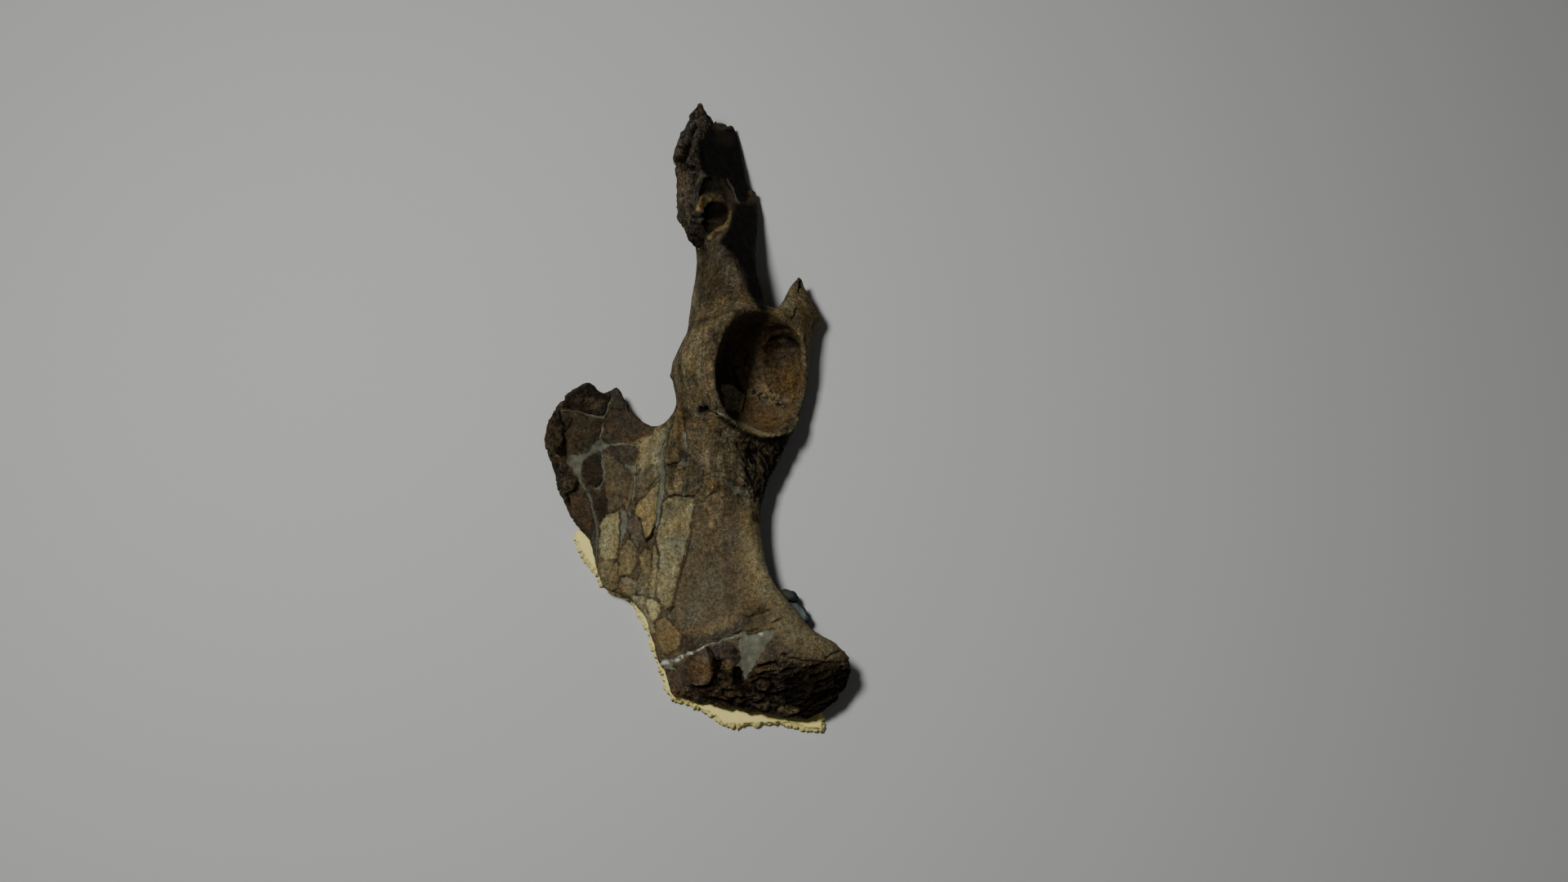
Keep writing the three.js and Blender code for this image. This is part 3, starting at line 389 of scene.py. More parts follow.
# broad areas: colour, softness in pixels, strength, outline; painted in this order
AREAS = [
    (FIELD, 14, 1.0, [800,480, 960,520, 960,620, 800,620]),
    (TAN, 9, 0.9, [862,340, 905,372, 894,398, 880,440, 876,500, 850,498, 828,480, 822,452, 832,425,
        848,385]),
    # the body's left flank, lighter where it faces the light: partly painted highlight
    (LIGHT_TAN, 8, 0.7, [846,400, 866,398, 864,440, 850,465, 834,442]),
    (CHOCOLATE, 7, 0.72, [856,296, 900,300, 916,340, 912,366, 884,380, 850,366]),
    (PINK_TAN, 6, 0.6, [872,306, 896,312, 908,340, 906,362, 890,350, 880,326]),
    (LIGHT_TAN, 5, 0.7, [852,300, 858,300, 856,340, 850,385, 846,385, 849,340]),
    (PINK_TAN, 8, 0.6, [842,392, 852,388, 848,420, 836,434, 826,450, 826,434]),
    (TAN, 8, 0.6, [880,366, 912,362, 920,374, 896,392, 876,400]),
    # the ischium: painted shade on its steep right face and on the shaft's right side, which turn from the
    # light; rough broken left face, hollow between them
    (DARK, 5, 0.92, [884,294, 926,296, 932,350, 942,380, 928,376, 914,350, 902,324]),
    (CHOCOLATE, 5, 0.8, [900,246, 927,246, 926,300, 900,300, 895,275]),
    (DARK, 2.5, 0.96, [866,152, 876,158, 889,161, 899,156, 904,165, 913,205, 920,236, 914,246, 902,248,
        896,232, 884,218, 866,216, 857,208, 854,190, 861,172]),
    (BLACK, 3, 0.7, [864,160, 898,160, 918,236, 900,246, 884,219, 858,208]),
    (REDDISH, 5, 0.3, [876,160, 898,160, 904,186, 880,186]),
    (BLACK, 6, 0.5, [862,186, 882,190, 896,208, 886,216, 866,214, 858,204]),
    (CHOCOLATE, 4, 0.95, [820,130, 866,125, 870,152, 860,166, 855,180, 856,208, 852,238, 846,264, 845,310,
        820,300]),
    (GREY_BROWN, 3, 0.8, [846,136, 858,128, 864,146, 852,158, 845,156]),
    (CHOCOLATE, 3.5, 0.9, [866,217, 882,219, 892,228, 896,243, 895,262, 886,282, 868,298, 852,290, 850,262,
        855,242, 857,227]),
    (BLACK, 3, 0.6, [842,286, 862,285, 866,300, 846,304]),
    # the broken pubis, with painted shade on its right face, which turns from the light
    (LIGHT_TAN, 8, 0.6, [938,384, 982,340, 1006,390, 996,470, 960,400]),
    (LIGHT_TAN, 5, 0.75, [950,382, 974,350, 980,372, 962,386]),
    (GREY_BROWN, 4, 0.7, [986,352, 1002,384, 1000,396, 992,376]),
    (TAN, 5, 0.8, [975,368, 990,372, 996,392, 986,408, 972,398]),
    # under the socket: painted shade where the surface turns down and away from the light
    (BLACK, 4, 0.85, [910,540, 968,534, 954,572, 940,610, 932,640, 922,640, 916,600, 912,575]),
    (TAN, 2, 0.6, [929,552, 934,550, 931,568, 926,590, 922,596, 924,576]),
    (DARK, 4, 0.85, [932,540, 958,538, 952,560, 936,566]),
    # the blade
    (YELLOW, 7, 0.55, [780,540, 806,520, 832,500, 826,530, 812,560, 800,590, 780,580]),
    (BLADE_FIELD, 5, 0.9, [854,614, 875,604, 901,603, 914,610, 908,640, 908,690, 918,730, 918,752, 900,758,
        886,768, 870,777, 850,783, 838,775, 829,765, 822,752, 826,730, 834,703, 842,675, 848,645]),
    # the blade's right border, lighter where it rolls up toward the light: its own tan with a painted
    # highlight
    (LIGHT_TAN, 10, 0.85, [908,612, 930,612, 936,670, 960,730, 1010,780, 1040,800, 1000,806, 955,790,
        925,740, 910,690]),
    (PALE, 6, 0.3, [922,640, 934,690, 954,726, 978,756, 1004,778, 1028,792, 1004,790, 962,752, 934,712,
        920,670]),
    (MAUVE, 4, 0.5, [885,660, 897,660, 903,730, 896,748, 887,740]),
    (ORANGE, 5, 0.8, [856,770, 876,762, 905,757, 906,765, 880,772, 858,780]),
    (GREY_BROWN, 5, 0.7, [835,780, 870,778, 898,766, 915,742, 935,738, 950,752, 925,766, 892,778, 866,788,
        846,796]),
    (PINK_TAN, 5, 0.75, [944,782, 960,776, 962,800, 948,808, 936,806]),
    # the crest, with painted shade on its right, which turns down and away from the light
    (CHOCOLATE, 5, 0.96, [838,812, 880,788, 915,800, 925,815, 955,803, 985,812, 1045,814, 1045,860,
        1000,890, 930,885, 870,875, 838,850]),
    (GREY_BROWN, 4, 0.7, [868,794, 896,787, 906,800, 900,812, 884,820, 872,812]),
    (DARK, 9, 0.9, [940,824, 1045,815, 1045,870, 985,885, 950,870]),
    (BLACK, 9, 0.9, [955,830, 990,820, 1050,816, 1045,870, 985,885, 955,866]),
    (TAN, 2.5, 0.8, [950,870, 958,863, 972,862, 978,868, 965,874]),
    (REDDISH, 3, 0.8, [926,812, 942,806, 946,810, 934,820, 922,832]),
    (TAN, 2.5, 0.7, [813,812, 832,812, 836,824, 830,842, 818,842]),
    (YELLOW, 2, 0.7, [816,822, 822,822, 822,832, 818,834]),
]
# areas of the hip socket's inside, painted over it in this order
CUP_AREAS = [
    (FIELD, 10, 1.0, [870,380, 1010,380, 1010,540, 870,540]),
    (ROSE_TAN, 5, 0.85, [900,440, 940,395, 940,470, 944,486, 918,486, 904,470]),
    (REDDISH, 4, 0.35, [905,430, 930,412, 934,440, 928,470, 918,478, 908,462]),
    # painted shade in the socket's deep left side, which its rim keeps from the light
    (DARK, 3.5, 0.4, [905,386, 942,380, 941,402, 930,411, 922,424, 917,440, 909,450, 898,456, 899,470,
        880,480, 870,470, 870,420]),
    (PLATE_GREY, 1.6, 0.9, LOOSE_PLATE),
    (TAN, 2.0, 0.8, LIP_PLATE),
    (FOSSA_BROWN, 3, 0.95, [938,424, 948,410, 968,412, 982,420, 986,440, 984,462, 972,482, 950,482, 940,470,
        936,446]),
    # the top of the ligament's hollow: its own dark brown, deepened by a painted shadow under the arch of
    # its edge
    (CHOCOLATE, 4, 0.85, [936,424, 946,408, 968,409, 980,422, 976,440, 954,450, 938,448]),
    (DARK, 5, 0.9, [936,428, 941,412, 958,406, 974,412, 980,424, 968,430, 952,430, 942,438]),
    (WALL_TAN, 4, 0.9, [982,418, 992,436, 990,480, 978,516, 966,524, 964,500, 974,482, 984,456]),
    (TAN, 4, 0.6, [976,486, 988,476, 978,514, 964,526, 966,506]),
    (RUST, 3, 0.85, [914,488, 930,488, 944,496, 956,500, 964,512, 958,528, 936,530, 914,514]),
]
# pale streaks down the side of the socket's body, below the socket and on the blade, partly painted
# highlight where the flanks face the light: outline, softness
STREAKS = [
    ([838,396, 874,392, 872,470, 852,494, 832,474, 832,430], 6),
    ([866,552, 882,548, 890,600, 886,644, 868,648, 862,600], 5),
    ([782,546, 800,533, 814,522, 811,552, 802,586, 784,576], 3),
]
# where the surface is rough: outline, softness
CREST = ([800,850, 838,842, 846,812, 880,800, 915,836, 930,812, 958,800, 990,812, 1045,812, 1060,920,
    800,920], 6)
BROKEN_END = ([800,110, 868,110, 872,150, 858,176, 858,206, 850,226, 850,270, 868,288, 868,306, 840,312,
    800,300], 4)
LOBE_EDGE = ([650,480, 690,480, 722,460, 748,478, 744,490, 738,508, 700,502, 690,530, 700,590, 706,600,
    700,612, 650,620], 4)
SCAR = ([880,514, 905,524, 930,538, 970,540, 945,612, 918,618, 902,590, 896,560, 878,536], 8)


# ---- small numeric helpers ----
WORD = 0xFFFFFFFF
AXIS_PRIMES = np.array([73856093, 19349663, 83492791], np.uint64)
SEED_PRIME = 2654435761
MIXING = ((15, 2246822519), (13, 3266489917))
NOISE_ORIGIN = 500.0                 # keeps the numbers of the cells positive
OCTAVE_SCALE, OCTAVE_SHIFT, OCTAVE_SEEDS = 2.03, 7.1, 17


def smooth(low, high, value):
    """0 where a value is low, 1 where it is high, and a smooth step between. low may be the greater."""
    t = np.clip((value - low) / (high - low), 0, 1)
    return t * t * (3 - 2 * t)


def leaning(x, y, low, high, lean, level):
    """A fade across x from low to high at y = level, along a line that leans."""
    return smooth(low, high, x + lean * (y - level))


def hashed(cell, seed):
    """A settled pseudo-random number from 0 to 1 for each row of whole numbers."""
    value = np.bitwise_xor.reduce(cell.astype(np.uint64) * AXIS_PRIMES, axis=-1)
    value = (value + np.uint64(seed * SEED_PRIME)) & np.uint64(WORD)
    for shift, prime in MIXING:
        value = ((value ^ (value >> np.uint64(shift))) * np.uint64(prime)) & np.uint64(WORD)
    return (value ^ (value >> np.uint64(16))) / float(WORD)


def noise(points, size, seed=0, octaves=1):
    """Smooth noise from -1 to 1. size is its wavelength, as one number or one for each axis."""
    total = np.zeros(len(points))
    weight, reach = 1.0, 0.0
    place = points / np.asarray(size, float) + NOISE_ORIGIN
    for octave in range(octaves):
        cell = np.floor(place)
        part = place - cell
        part = part * part * (3 - 2 * part)
        layer = np.zeros(len(points))
        for z, y, x in np.ndindex(2, 2, 2):
            step = np.array([x, y, z])
            share = np.prod(np.where(step == 1, part, 1 - part), axis=1)
            layer += share * hashed(cell + step, seed + OCTAVE_SEEDS * octave)
        total += weight * (2 * layer - 1)
        reach += weight
        weight *= 0.5
        place = place * OCTAVE_SCALE + OCTAVE_SHIFT
    return total / reach


def ridged(points, size, seed, octaves=1):
    """Noise folded into sharp ridges of height 1."""
    return 1 - 2 * np.abs(noise(points, size, seed, octaves))


def drift(points, size, seeds, octaves=1):
    """One noise for each seed, side by side, to shift places by."""
    return np.stack([noise(points, size, seed, octaves) for seed in seeds], 1)


def cells(points, size, seed=0):
    """Distances to the nearest and second nearest scattered seed, in cells, and the nearest's number."""
    place = points / np.asarray(size, float) + NOISE_ORIGIN
    home = np.floor(place)
    first = np.full(len(points), FAR)
    second = np.full(len(points), FAR)
    number = np.zeros(len(points))
    for z, y, x in np.ndindex(3, 3, 3):
        cell = home + (x - 1, y - 1, z - 1)
        seat = np.stack([hashed(cell, seed + axis) for axis in range(3)], 1)
        distance = np.linalg.norm(cell + seat - place, axis=1)
        nearer = distance < first
        second = np.where(nearer, first, np.minimum(second, distance))
        number = np.where(nearer, hashed(cell, seed + 9), number)
        first = np.where(nearer, distance, first)
    return first, second, number


def slanted(mm, lean):
    """Points turned a little about the upright axis, so that noise runs aslant."""
    x, y, z = mm.T
    return np.stack([x + lean * y, y - lean * x, z], 1)


def closed(outline):
    """An outline's points as a line without width that comes back to its start."""
    x, y = [*outline[::2], outline[0]], [*outline[1::2], outline[1]]
    return np.c_[x, y, np.zeros(len(x))]


def line_reach(places, line):
    """Distance from each place to a line, less the line's half width there."""
    line = np.reshape(line, (-1, 3))
    best = np.full(len(places), FAR)
    low, high = line[:, :2].min(0) - LINE_MARGIN, line[:, :2].max(0) + LINE_MARGIN
    near = np.all((places > low) & (places < high), axis=1)
    spots = places[near]
    found = best[near]
    for (ax, ay, aw), (bx, by, bw) in zip(line[:-1], line[1:]):
        edge = np.array([bx - ax, by - ay])
        t = np.clip((spots - (ax, ay)) @ edge / (edge @ edge), 0, 1)
        gap = np.hypot(*(spots - (ax, ay) - t[:, None] * edge).T)
        found = np.minimum(found, gap - aw - t * (bw - aw))
    best[near] = found
    return best


def depth_inside(places, outline):
    """Signed distance to a closed outline, positive inside it."""
    line = closed(outline)
    reach = line_reach(places, line)
    x, y = places.T
    inside = np.zeros(len(places), bool)
    for (ax, ay, _), (bx, by, _) in zip(line[:-1], line[1:]):
        if ay != by:
            inside ^= ((ay > y) != (by > y)) & (x < ax + (y - ay) * (bx - ax) / (by - ay))
    return np.where(inside, reach, -reach)


def within(places, outline, soft):
    """1 inside an outline and 0 outside it, with a soft edge."""
    return smooth(-soft, soft, depth_inside(places, outline))


def frame_place(points):
    """Where points of the row frame fall in the camera's 1920 x 1080 frame."""
    rel = points - TARGET
    scale = CAMERA_DISTANCE / (CAMERA_DISTANCE - rel @ TO_CAMERA) / PIXEL
    across = FRAME_SIZE[0] / 2 + rel[:, 0] * scale
    down = FRAME_SIZE[1] / 2 - rel @ CAMERA_UP * scale
    return np.stack([across, down], 1)


def mix(base, colour, share):
    return base + (np.asarray(colour) - base) * np.asarray(share)[:, None]


def toned(colour, tone):
    """One colour, lighter or darker from point to point."""
    return np.asarray(colour) * tone[:, None]


# ---- mesh helpers ----
def new_object(name, data):
    obj = bpy.data.objects.new(name, data)
    bpy.context.scene.collection.objects.link(obj)
    return obj


def bake_modifiers(obj):
    """Makes an object's modifiers part of its mesh."""
    name = obj.data.name
    evaluated = obj.evaluated_get(bpy.context.evaluated_depsgraph_get())
    obj.data = bpy.data.meshes.new_from_object(evaluated)
    obj.data.name = name
    obj.modifiers.clear()


def remeshed(node_name, name, voxel):
    """A new object with a node's shape in small even faces."""
    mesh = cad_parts[node_name].data.copy()
    mesh.name = name
    obj = new_object(name, mesh)
    bm = bmesh.new()
    bm.from_mesh(mesh)
    bmesh.ops.remove_doubles(bm, verts=bm.verts, dist=MERGE_REACH)
    bm.to_mesh(mesh)
    bm.free()
    remesh = obj.modifiers.new("Remesh", "REMESH")
    remesh.mode = "VOXEL"
    remesh.voxel_size = voxel
    bake_modifiers(obj)
    obj.data.materials.clear()
    return obj


def vectors(items, field):
    """One vector of each of a mesh's items, as rows of numbers."""
    values = np.empty(len(items) * 3, np.float32)
    items.foreach_get(field, values)
    return values.reshape(-1, 3).astype(float)


def points_and_normals(mesh):
    return vectors(mesh.vertices, "co"), vectors(mesh.vertex_normals, "vector")


def set_points(mesh, points):
    mesh.vertices.foreach_set("co", points.astype(np.float32).ravel())
    mesh.update()


def neighbours(mesh):
    """A function that gives each point the mean of its neighbours' values."""
    edges = np.empty(len(mesh.edges) * 2, np.int32)
    mesh.edges.foreach_get("vertices", edges)
    a, b = edges.reshape(-1, 2).T
    size = len(mesh.vertices)
    count = np.bincount(np.r_[a, b], minlength=size)[:, None]

    def mean(values):
        total = [np.bincount(np.r_[a, b], np.r_[column[b], column[a]], size) for column in values.T]
        return np.stack(total, 1) / count

    return mean


def relax(mesh, rounds, share=None):
    """Evens the surface out without shrinking it. share(points) says how much each point may move."""
    mean = neighbours(mesh)
    points = vectors(mesh.vertices, "co")
    free = 1.0 if share is None else share(points)[:, None]
    for pull in RELAX_PULLS * rounds:
        points += free * pull * (mean(points) - points)
    set_points(mesh, points)


def spread(mesh, moves, held, rings):
    """Carries the moves of the held points on to those around them, less and less with each ring."""
    mean = neighbours(mesh)
    for _ in range(rings):
        moves = moves * held[:, None] + mean(moves) * (1 - held)[:, None]
    return moves


def refine(mesh, wanted):
    """Splits the faces where wanted(points, normals) is true into four."""
    chosen = wanted(*points_and_normals(mesh))
    bm = bmesh.new()
    bm.from_mesh(mesh)
    bm.verts.ensure_lookup_table()
    split = [e for e in bm.edges if chosen[e.verts[0].index] and chosen[e.verts[1].index]]
    bmesh.ops.subdivide_edges(bm, edges=split, cuts=1, use_grid_fill=True)
    bmesh.ops.triangulate(bm, faces=[f for f in bm.faces if len(f.verts) > 4])
    bm.to_mesh(mesh)
    bm.free()


def thin_out(obj, most):
    """Merges small faces on even ground until no more than most triangles are left."""
    count = sum(len(polygon.vertices) - 2 for polygon in obj.data.polygons)
    if count > most:
        decimate = obj.modifiers.new("Decimate", "DECIMATE")
        decimate.ratio = most / count
        decimate.use_collapse_triangulate = True
        bake_modifiers(obj)


def paint(mesh, name, values):
    """Stores one number or one colour for each vertex, for the material to read."""
    kind, field = ("FLOAT", "value") if values.ndim == 1 else ("FLOAT_COLOR", "color")
    attribute = mesh.attributes.new(name, kind, "POINT")
    if values.ndim == 2:
        values = np.c_[values, np.ones(len(values))]
    attribute.data.foreach_set(field, values.astype(np.float32).ravel())


def finish_surface(mesh, tint, material):
    paint(mesh, "tint", tint)
    mesh.polygons.foreach_set("use_smooth", np.ones(len(mesh.polygons), bool))
    mesh.update()
    mesh.materials.append(material)


# ---- the bone's surface ----
def wander(places, mm):
    """Shifts the listed places a little, so that drawn lines run unevenly, as real joints do."""
    return places + (1.2 * drift(mm, 9, (11, 12)) + 0.8 * drift(mm, 3.6, (13, 14)))


def cup_place(points):
    """Height over the plane of the socket's mouth, and distance outside its ball."""
    ball = np.linalg.norm(points - (CUP_MOUTH + CUP_AXIS * CUP_SET_OUT), axis=1) - CUP_RADIUS
    return (points - CUP_MOUTH) @ CUP_AXIS, ball


def fossa_gap(points):
    """Distance outside the rounded hollow in the socket's floor."""
    run = FOSSA_LOWER - FOSSA_UPPER
    t = np.clip((points - FOSSA_UPPER) @ run / (run @ run), 0, 1)
    return np.linalg.norm(points - FOSSA_UPPER - t[:, None] * run, axis=1) - FOSSA_RADIUS


def facing(normals):
    return smooth(*FACING, normals @ TO_CAMERA)


def rough_parts(points, normals):
    """How rough the bone is: the crest, the broken ischium, and the broken edges, each from 0 to 1."""
    places = frame_place(points)
    front = facing(normals)
    back = 1 - front
    crest, end, lobe = [within(places, *part) * front for part in (CREST, BROKEN_END, LOBE_EDGE)]
    x, y, _ = (points / MM).T
    crest = np.maximum(crest, back * smooth(*BACK_CREST_DOWN, y) * leaning(x, y, *BACK_CREST))
    end = np.maximum(end, back * smooth(*BACK_END_UP, y) * smooth(*BACK_END_ACROSS, x))
    edge = back * leaning(x, y, *BACK_LOBE) * smooth(*BACK_LOBE_DOWN, y)
    lobe = np.maximum(lobe, edge * smooth(0.55, 0.15, np.abs(normals[:, 2])))
    return crest, end, lobe


def seen(points, normals):
    return normals @ TO_CAMERA > SEEN


def drawn_or_rough(points, normals):
    """True where the finest faces are wanted: near drawn lines and on rough bone that faces the camera."""
    outlines = [*(outline for _, _, outline in PLATES), *FILLER_PATCHES, LOOSE_PLATE, LIP_PLATE]
    places = frame_place(points)
    gap = np.full(len(points), FAR)
    for line in [*map(closed, outlines), *FILLER_LINES, *CRACKS, CUP_CRUST]:
        gap = np.minimum(gap, line_reach(places, line))
    towards = normals @ TO_CAMERA
    rough = sum(rough_parts(points, normals))
    return (gap < FINE_REACH) & (towards > SEEN_LINE) | (rough > 0.5) & (towards > SEEN_ROUGH)


def smooth_bone(points):
    """How far the even mesh may be relaxed: less on the broken end, whose edges are sharp."""
    broken = smooth(-3, 4, depth_inside(frame_place(points), SHARP_END))
    return 1 - 0.8 * broken


def sharpen(mesh):
    """Draws out the points that the even mesh has rounded off."""
    points = vectors(mesh.vertices, "co")
    across, down = (frame_place(points) - TIP).T
    near = np.clip(1 - down / TIP_REACH, 0, 1) * smooth(1.6 * TIP_REACH, TIP_REACH, np.abs(across))
    points[:, 0] -= TIP_TAPER * near * across * PIXEL
    for px, py, reach, pull in PEAKS:
        away = np.hypot(*(frame_place(points) - (px, py)).T) / reach
        points += (smooth(1, 0, away) ** 2)[:, None] * np.array(pull) * MM
    set_points(mesh, points)


class Skin:
    """The bone's surface while it is dressed: where its points are and what each has been given.

    places are where its points fall in the frame, shifted unevenly; cloudy shifts them more, exact not.
    """

    def __init__(self, points, normals):
        self.points = points
        self.normals = normals
        self.mm = points / MM
        self.front = facing(normals)
        self.back = 1 - self.front
        self.exact = frame_place(points)
        self.x, self.y = self.exact.T
        self.places = wander(self.exact, self.mm)
        self.cloudy = self.exact + 5 * drift(self.mm, 20, (31, 32), 3)
        self.crest, self.end, self.lobe = rough_parts(points, normals)
        self.bare = 1 - np.maximum(self.crest, self.end)
        lift, ball = cup_place(points)
        self.fossa_gap = fossa_gap(points)
        hollow = smooth(3 * MM, 0, self.fossa_gap)
        self.cup = smooth(5 * MM, -1 * MM, lift) * np.maximum(smooth(4 * MM, 1.5 * MM, ball), hollow)
        self.outside = self.front * (1 - self.cup)
        self.broad = noise(self.mm, (60, 90, 60), 4, 3)
        self.fine = noise(self.mm, 9, 5, 3)
        self.rise = np.zeros(len(points))
        self.tint = np.tile(np.array(FIELD), (len(points), 1))
        self.filler = np.zeros(len(points))
        self.crack = np.zeros(len(points))
        self.coarse = np.maximum.reduce([self.crest, self.end, 0.6 * self.lobe])

    def stretch(self, top, foot, side):
        """A stretch of the frame that fades in below its top and beyond its side, and out above its foot."""
        return smooth(*top, self.y) * smooth(*foot, self.y) * smooth(*side, self.x)

    def colour(self, colour, share):
        self.tint = mix(self.tint, colour, np.clip(share, 0, 1))

    def graded(self, value, share, *steps):
        """Colours by a value. Each step: a colour, where it is none and where whole, and its strength."""
        for colour, low, high, strength in steps:
            self.colour(colour, share * smooth(low, high, value) * strength)

    def add_filler(self, share):
        self.filler = np.maximum(self.filler, share)

    def add_crack(self, share):
        self.crack = np.maximum(self.crack, share)

    def roughen(self, share):
        self.coarse = np.maximum(self.coarse, share)

    def paint_areas(self, areas, mask):
        for colour, soft, strength, outline in areas:
            places = self.cloudy if soft > 3 else self.places
            self.colour(colour, within(places, outline, soft) * strength * mask)


def plain_bone(skin):
    """Soft unevenness everywhere, and browns in broad clouds."""
    mm = skin.mm
    skin.rise += 0.9 * noise(mm, 34, 1) + 0.5 * noise(mm, 13, 2) + 0.35 * noise(mm, (5, 9, 5), 3, 2)
    skin.graded(skin.broad, 1, (TAN, -0.2, 0.5, 1), (GREY_BROWN, 0.1, -0.5, 0.8))
    lobe_side = smooth(*LOBE_SIDE, skin.x) * smooth(*LOBE_FOOT, skin.y)
    skin.colour(CHOCOLATE, 0.75 * lobe_side * skin.outside)


def unseen_fragments(skin):
    """Fragments and joints on the faces that the camera doesn't see."""
    shifted = skin.mm + 6 * np.stack([skin.fine, -skin.fine, skin.fine], 1)
    first, second, number = cells(shifted, (34, 62, 40), 21)
    skin.graded(number, skin.back, (LIGHT_TAN, 0.55, 1.0, 0.7), (CHOCOLATE, 0.4, 0.0, 0.7))
    skin.rise += skin.back * (number - 0.5) * 1.6
    joint = smooth(0.075, 0.02, second - first) * skin.back * skin.bare
    share = noise(skin.mm, 60, 22)
    skin.add_filler(joint * smooth(-0.25, 0.2, share))
    skin.add_crack(0.6 * joint * smooth(-0.25, -0.55, share))


def fragments(skin):
    """Glued fragments: each has its own colour, height and uneven dark edge."""
    mm = skin.mm
    edges = np.zeros(len(mm))
    for index, (colour, height, outline) in enumerate(PLATES):
        depth = depth_inside(skin.places, outline)
        inside = smooth(-0.5, 0.9, depth) * skin.outside
        blotch = 0.24 * noise(mm, 15, 40 + index, 3)
        grain = 0.16 * noise(mm, (4, 24, 10), 70 + index, 2)
        worn = 0.22 * smooth(4.5, 0.8, depth) * noise(mm, 8, 41 + index)
        skin.colour(toned(colour, 1 + blotch + grain + worn), 0.90 * inside)
        tilt = noise(mm, 70, 42 + index) * 0.8
        skin.rise += inside * (height + tilt) * 0.9
        edges = np.maximum(edges, np.exp(-(depth / 0.85) ** 2) * skin.outside)
    uneven = smooth(-0.5, 0.35, noise(mm, 11, 7, 2))
    skin.rise -= JOINT_DEPTH * edges * uneven
    skin.colour(CHOCOLATE, 0.95 * edges * uneven)


def fill_joints(skin):
    """Grey filler in the joints and gaps between fragments, with a painted highlight on one patch."""
    mm = skin.mm
    for outline in FILLER_PATCHES:
        skin.add_filler(within(skin.places, outline, 0.7) * skin.outside)
    for line in FILLER_LINES:
        skin.add_filler(smooth(0.8, -0.6, line_reach(skin.places, line)) * skin.outside)
    skin.rise += skin.filler * (-0.4 + 0.7 * noise(mm, 6, 8, 2))
    lobe_side = smooth(*LOBE_FILLER, skin.x) * skin.front
    shade = (1 + 0.22 * skin.fine + 0.20 * noise(mm, 4, 24, 2)) * (1.12 - 0.38 * lobe_side)
    skin.colour(toned(FILLER, shade), 0.93 * skin.filler)
    pale = smooth(0.1, 0.6, noise(mm, 9, 23, 2)) * (1 - 0.7 * lobe_side)
    skin.colour(FILLER_PALE, 0.5 * skin.filler * pale)
    # a painted highlight on the filler patch
    across, down = (skin.places - HIGHLIGHT_SPOT).T
    skin.colour(CHALK_AND_HIGHLIGHT, smooth(*HIGHLIGHT_FADE, np.hypot(across, down * 1.3)) * skin.front)
    strand = smooth(1.0, -0.5, line_reach(skin.places, FILLER_STRAND)) * skin.outside
    strand *= smooth(-0.25, 0.2, noise(mm, 5, 25, 2))
    skin.colour(CHALK_AND_HIGHLIGHT, 0.8 * strand)
    skin.rise += strand


def bands_and_knobs(skin):
    """Ledges, grooves and knobs that the broad noise can't give."""
    for height, soft, colour, line in BANDS:
        share = smooth(soft, -soft, line_reach(skin.places, line)) * skin.front
        skin.rise += height * share
        skin.colour(colour, 0.8 * share)
    for px, py, half_width, half_height, height, colour in KNOBS:
        away = np.hypot(*((skin.places - (px, py)) / (half_width, half_height)).T)
        share = np.exp(-away ** 3) * skin.front
        skin.rise += height * share
        skin.colour(colour, 0.75 * share)


def rough_crest(skin):
    """Lumps on the crest's left, and long ridges with pits that run round the hip knob."""
    flow = skin.mm + 9 * drift(skin.mm, 45, (51, 52, 53), 2)
    slant = slanted(flow, 0.25)
    ripple = ridged(slant, (17, 4, 4.5), 55, 2)
    crumb = noise(skin.mm, 4.5, 57, 2)
    first_pit, _, _ = cells(slant, (15, 9, 9), 56)
    near, next_near, height = cells(flow, (25, 17, 17), 58)
    ridge = 2.3 * ridged(slant, (34, 8, 10), 54, 2)
    ridges = ridge + 1.6 * ripple + 0.8 * crumb - 3.0 * smooth(0.45, 0.1, first_pit)
    lumps = 3.6 * smooth(0.02, 0.5, next_near - near) - 2.0 + 2.6 * height + 1.2 * ripple + 0.9 * crumb
    form = ridges + (lumps - ridges) * leaning(skin.x, skin.y, *CREST_LUMPS)
    wedge = within(skin.places, WEDGE, 1.5)
    crest = skin.crest * (1 - 0.85 * wedge) * (1 - 0.9 * skin.filler)
    skin.rise += 1.5 * crest * form
    # painted highlights on the raised ridges, fading out on the crest's right where it is in shade, and
    # painted shade in the furrows and pits
    lit = leaning(skin.x, skin.y, *CREST_LIGHT)
    skin.graded(form, crest, (BLACK, 2.0, -0.8, 0.9), (REDDISH, 1.6, 3.4, 0.20 + 0.45 * lit),
                (PINK_TAN, 2.6, 4.6, 0.6 * lit))


def broken_end(skin):
    """Open spongy bone on the broken ischium and the lobe's worn edge."""
    mm = skin.mm
    clod = noise(mm, 24, 63, 2)
    chunk = ridged(mm, (11, 15, 11), 61, 2)
    crumb = noise(mm, 4.5, 64, 2)
    sponge, _, _ = cells(mm, (5.5, 7, 5.5), 62)
    form = 4.4 * clod + 3.0 * chunk + 1.2 * crumb - 3.0 * smooth(0.5, 0.12, sponge)
    rough = np.maximum(skin.end, 0.6 * skin.lobe)
    skin.rise += rough * form
    # darker in the hollows and lighter on the lumps: the bone's own browns with painted shade and highlight
    skin.graded(form, rough, (BLACK, 1.6, -2.0, 0.94), (GREY_BROWN, 1.0, 3.6, 0.5), (TAN, 2.4, 5.0, 0.45))


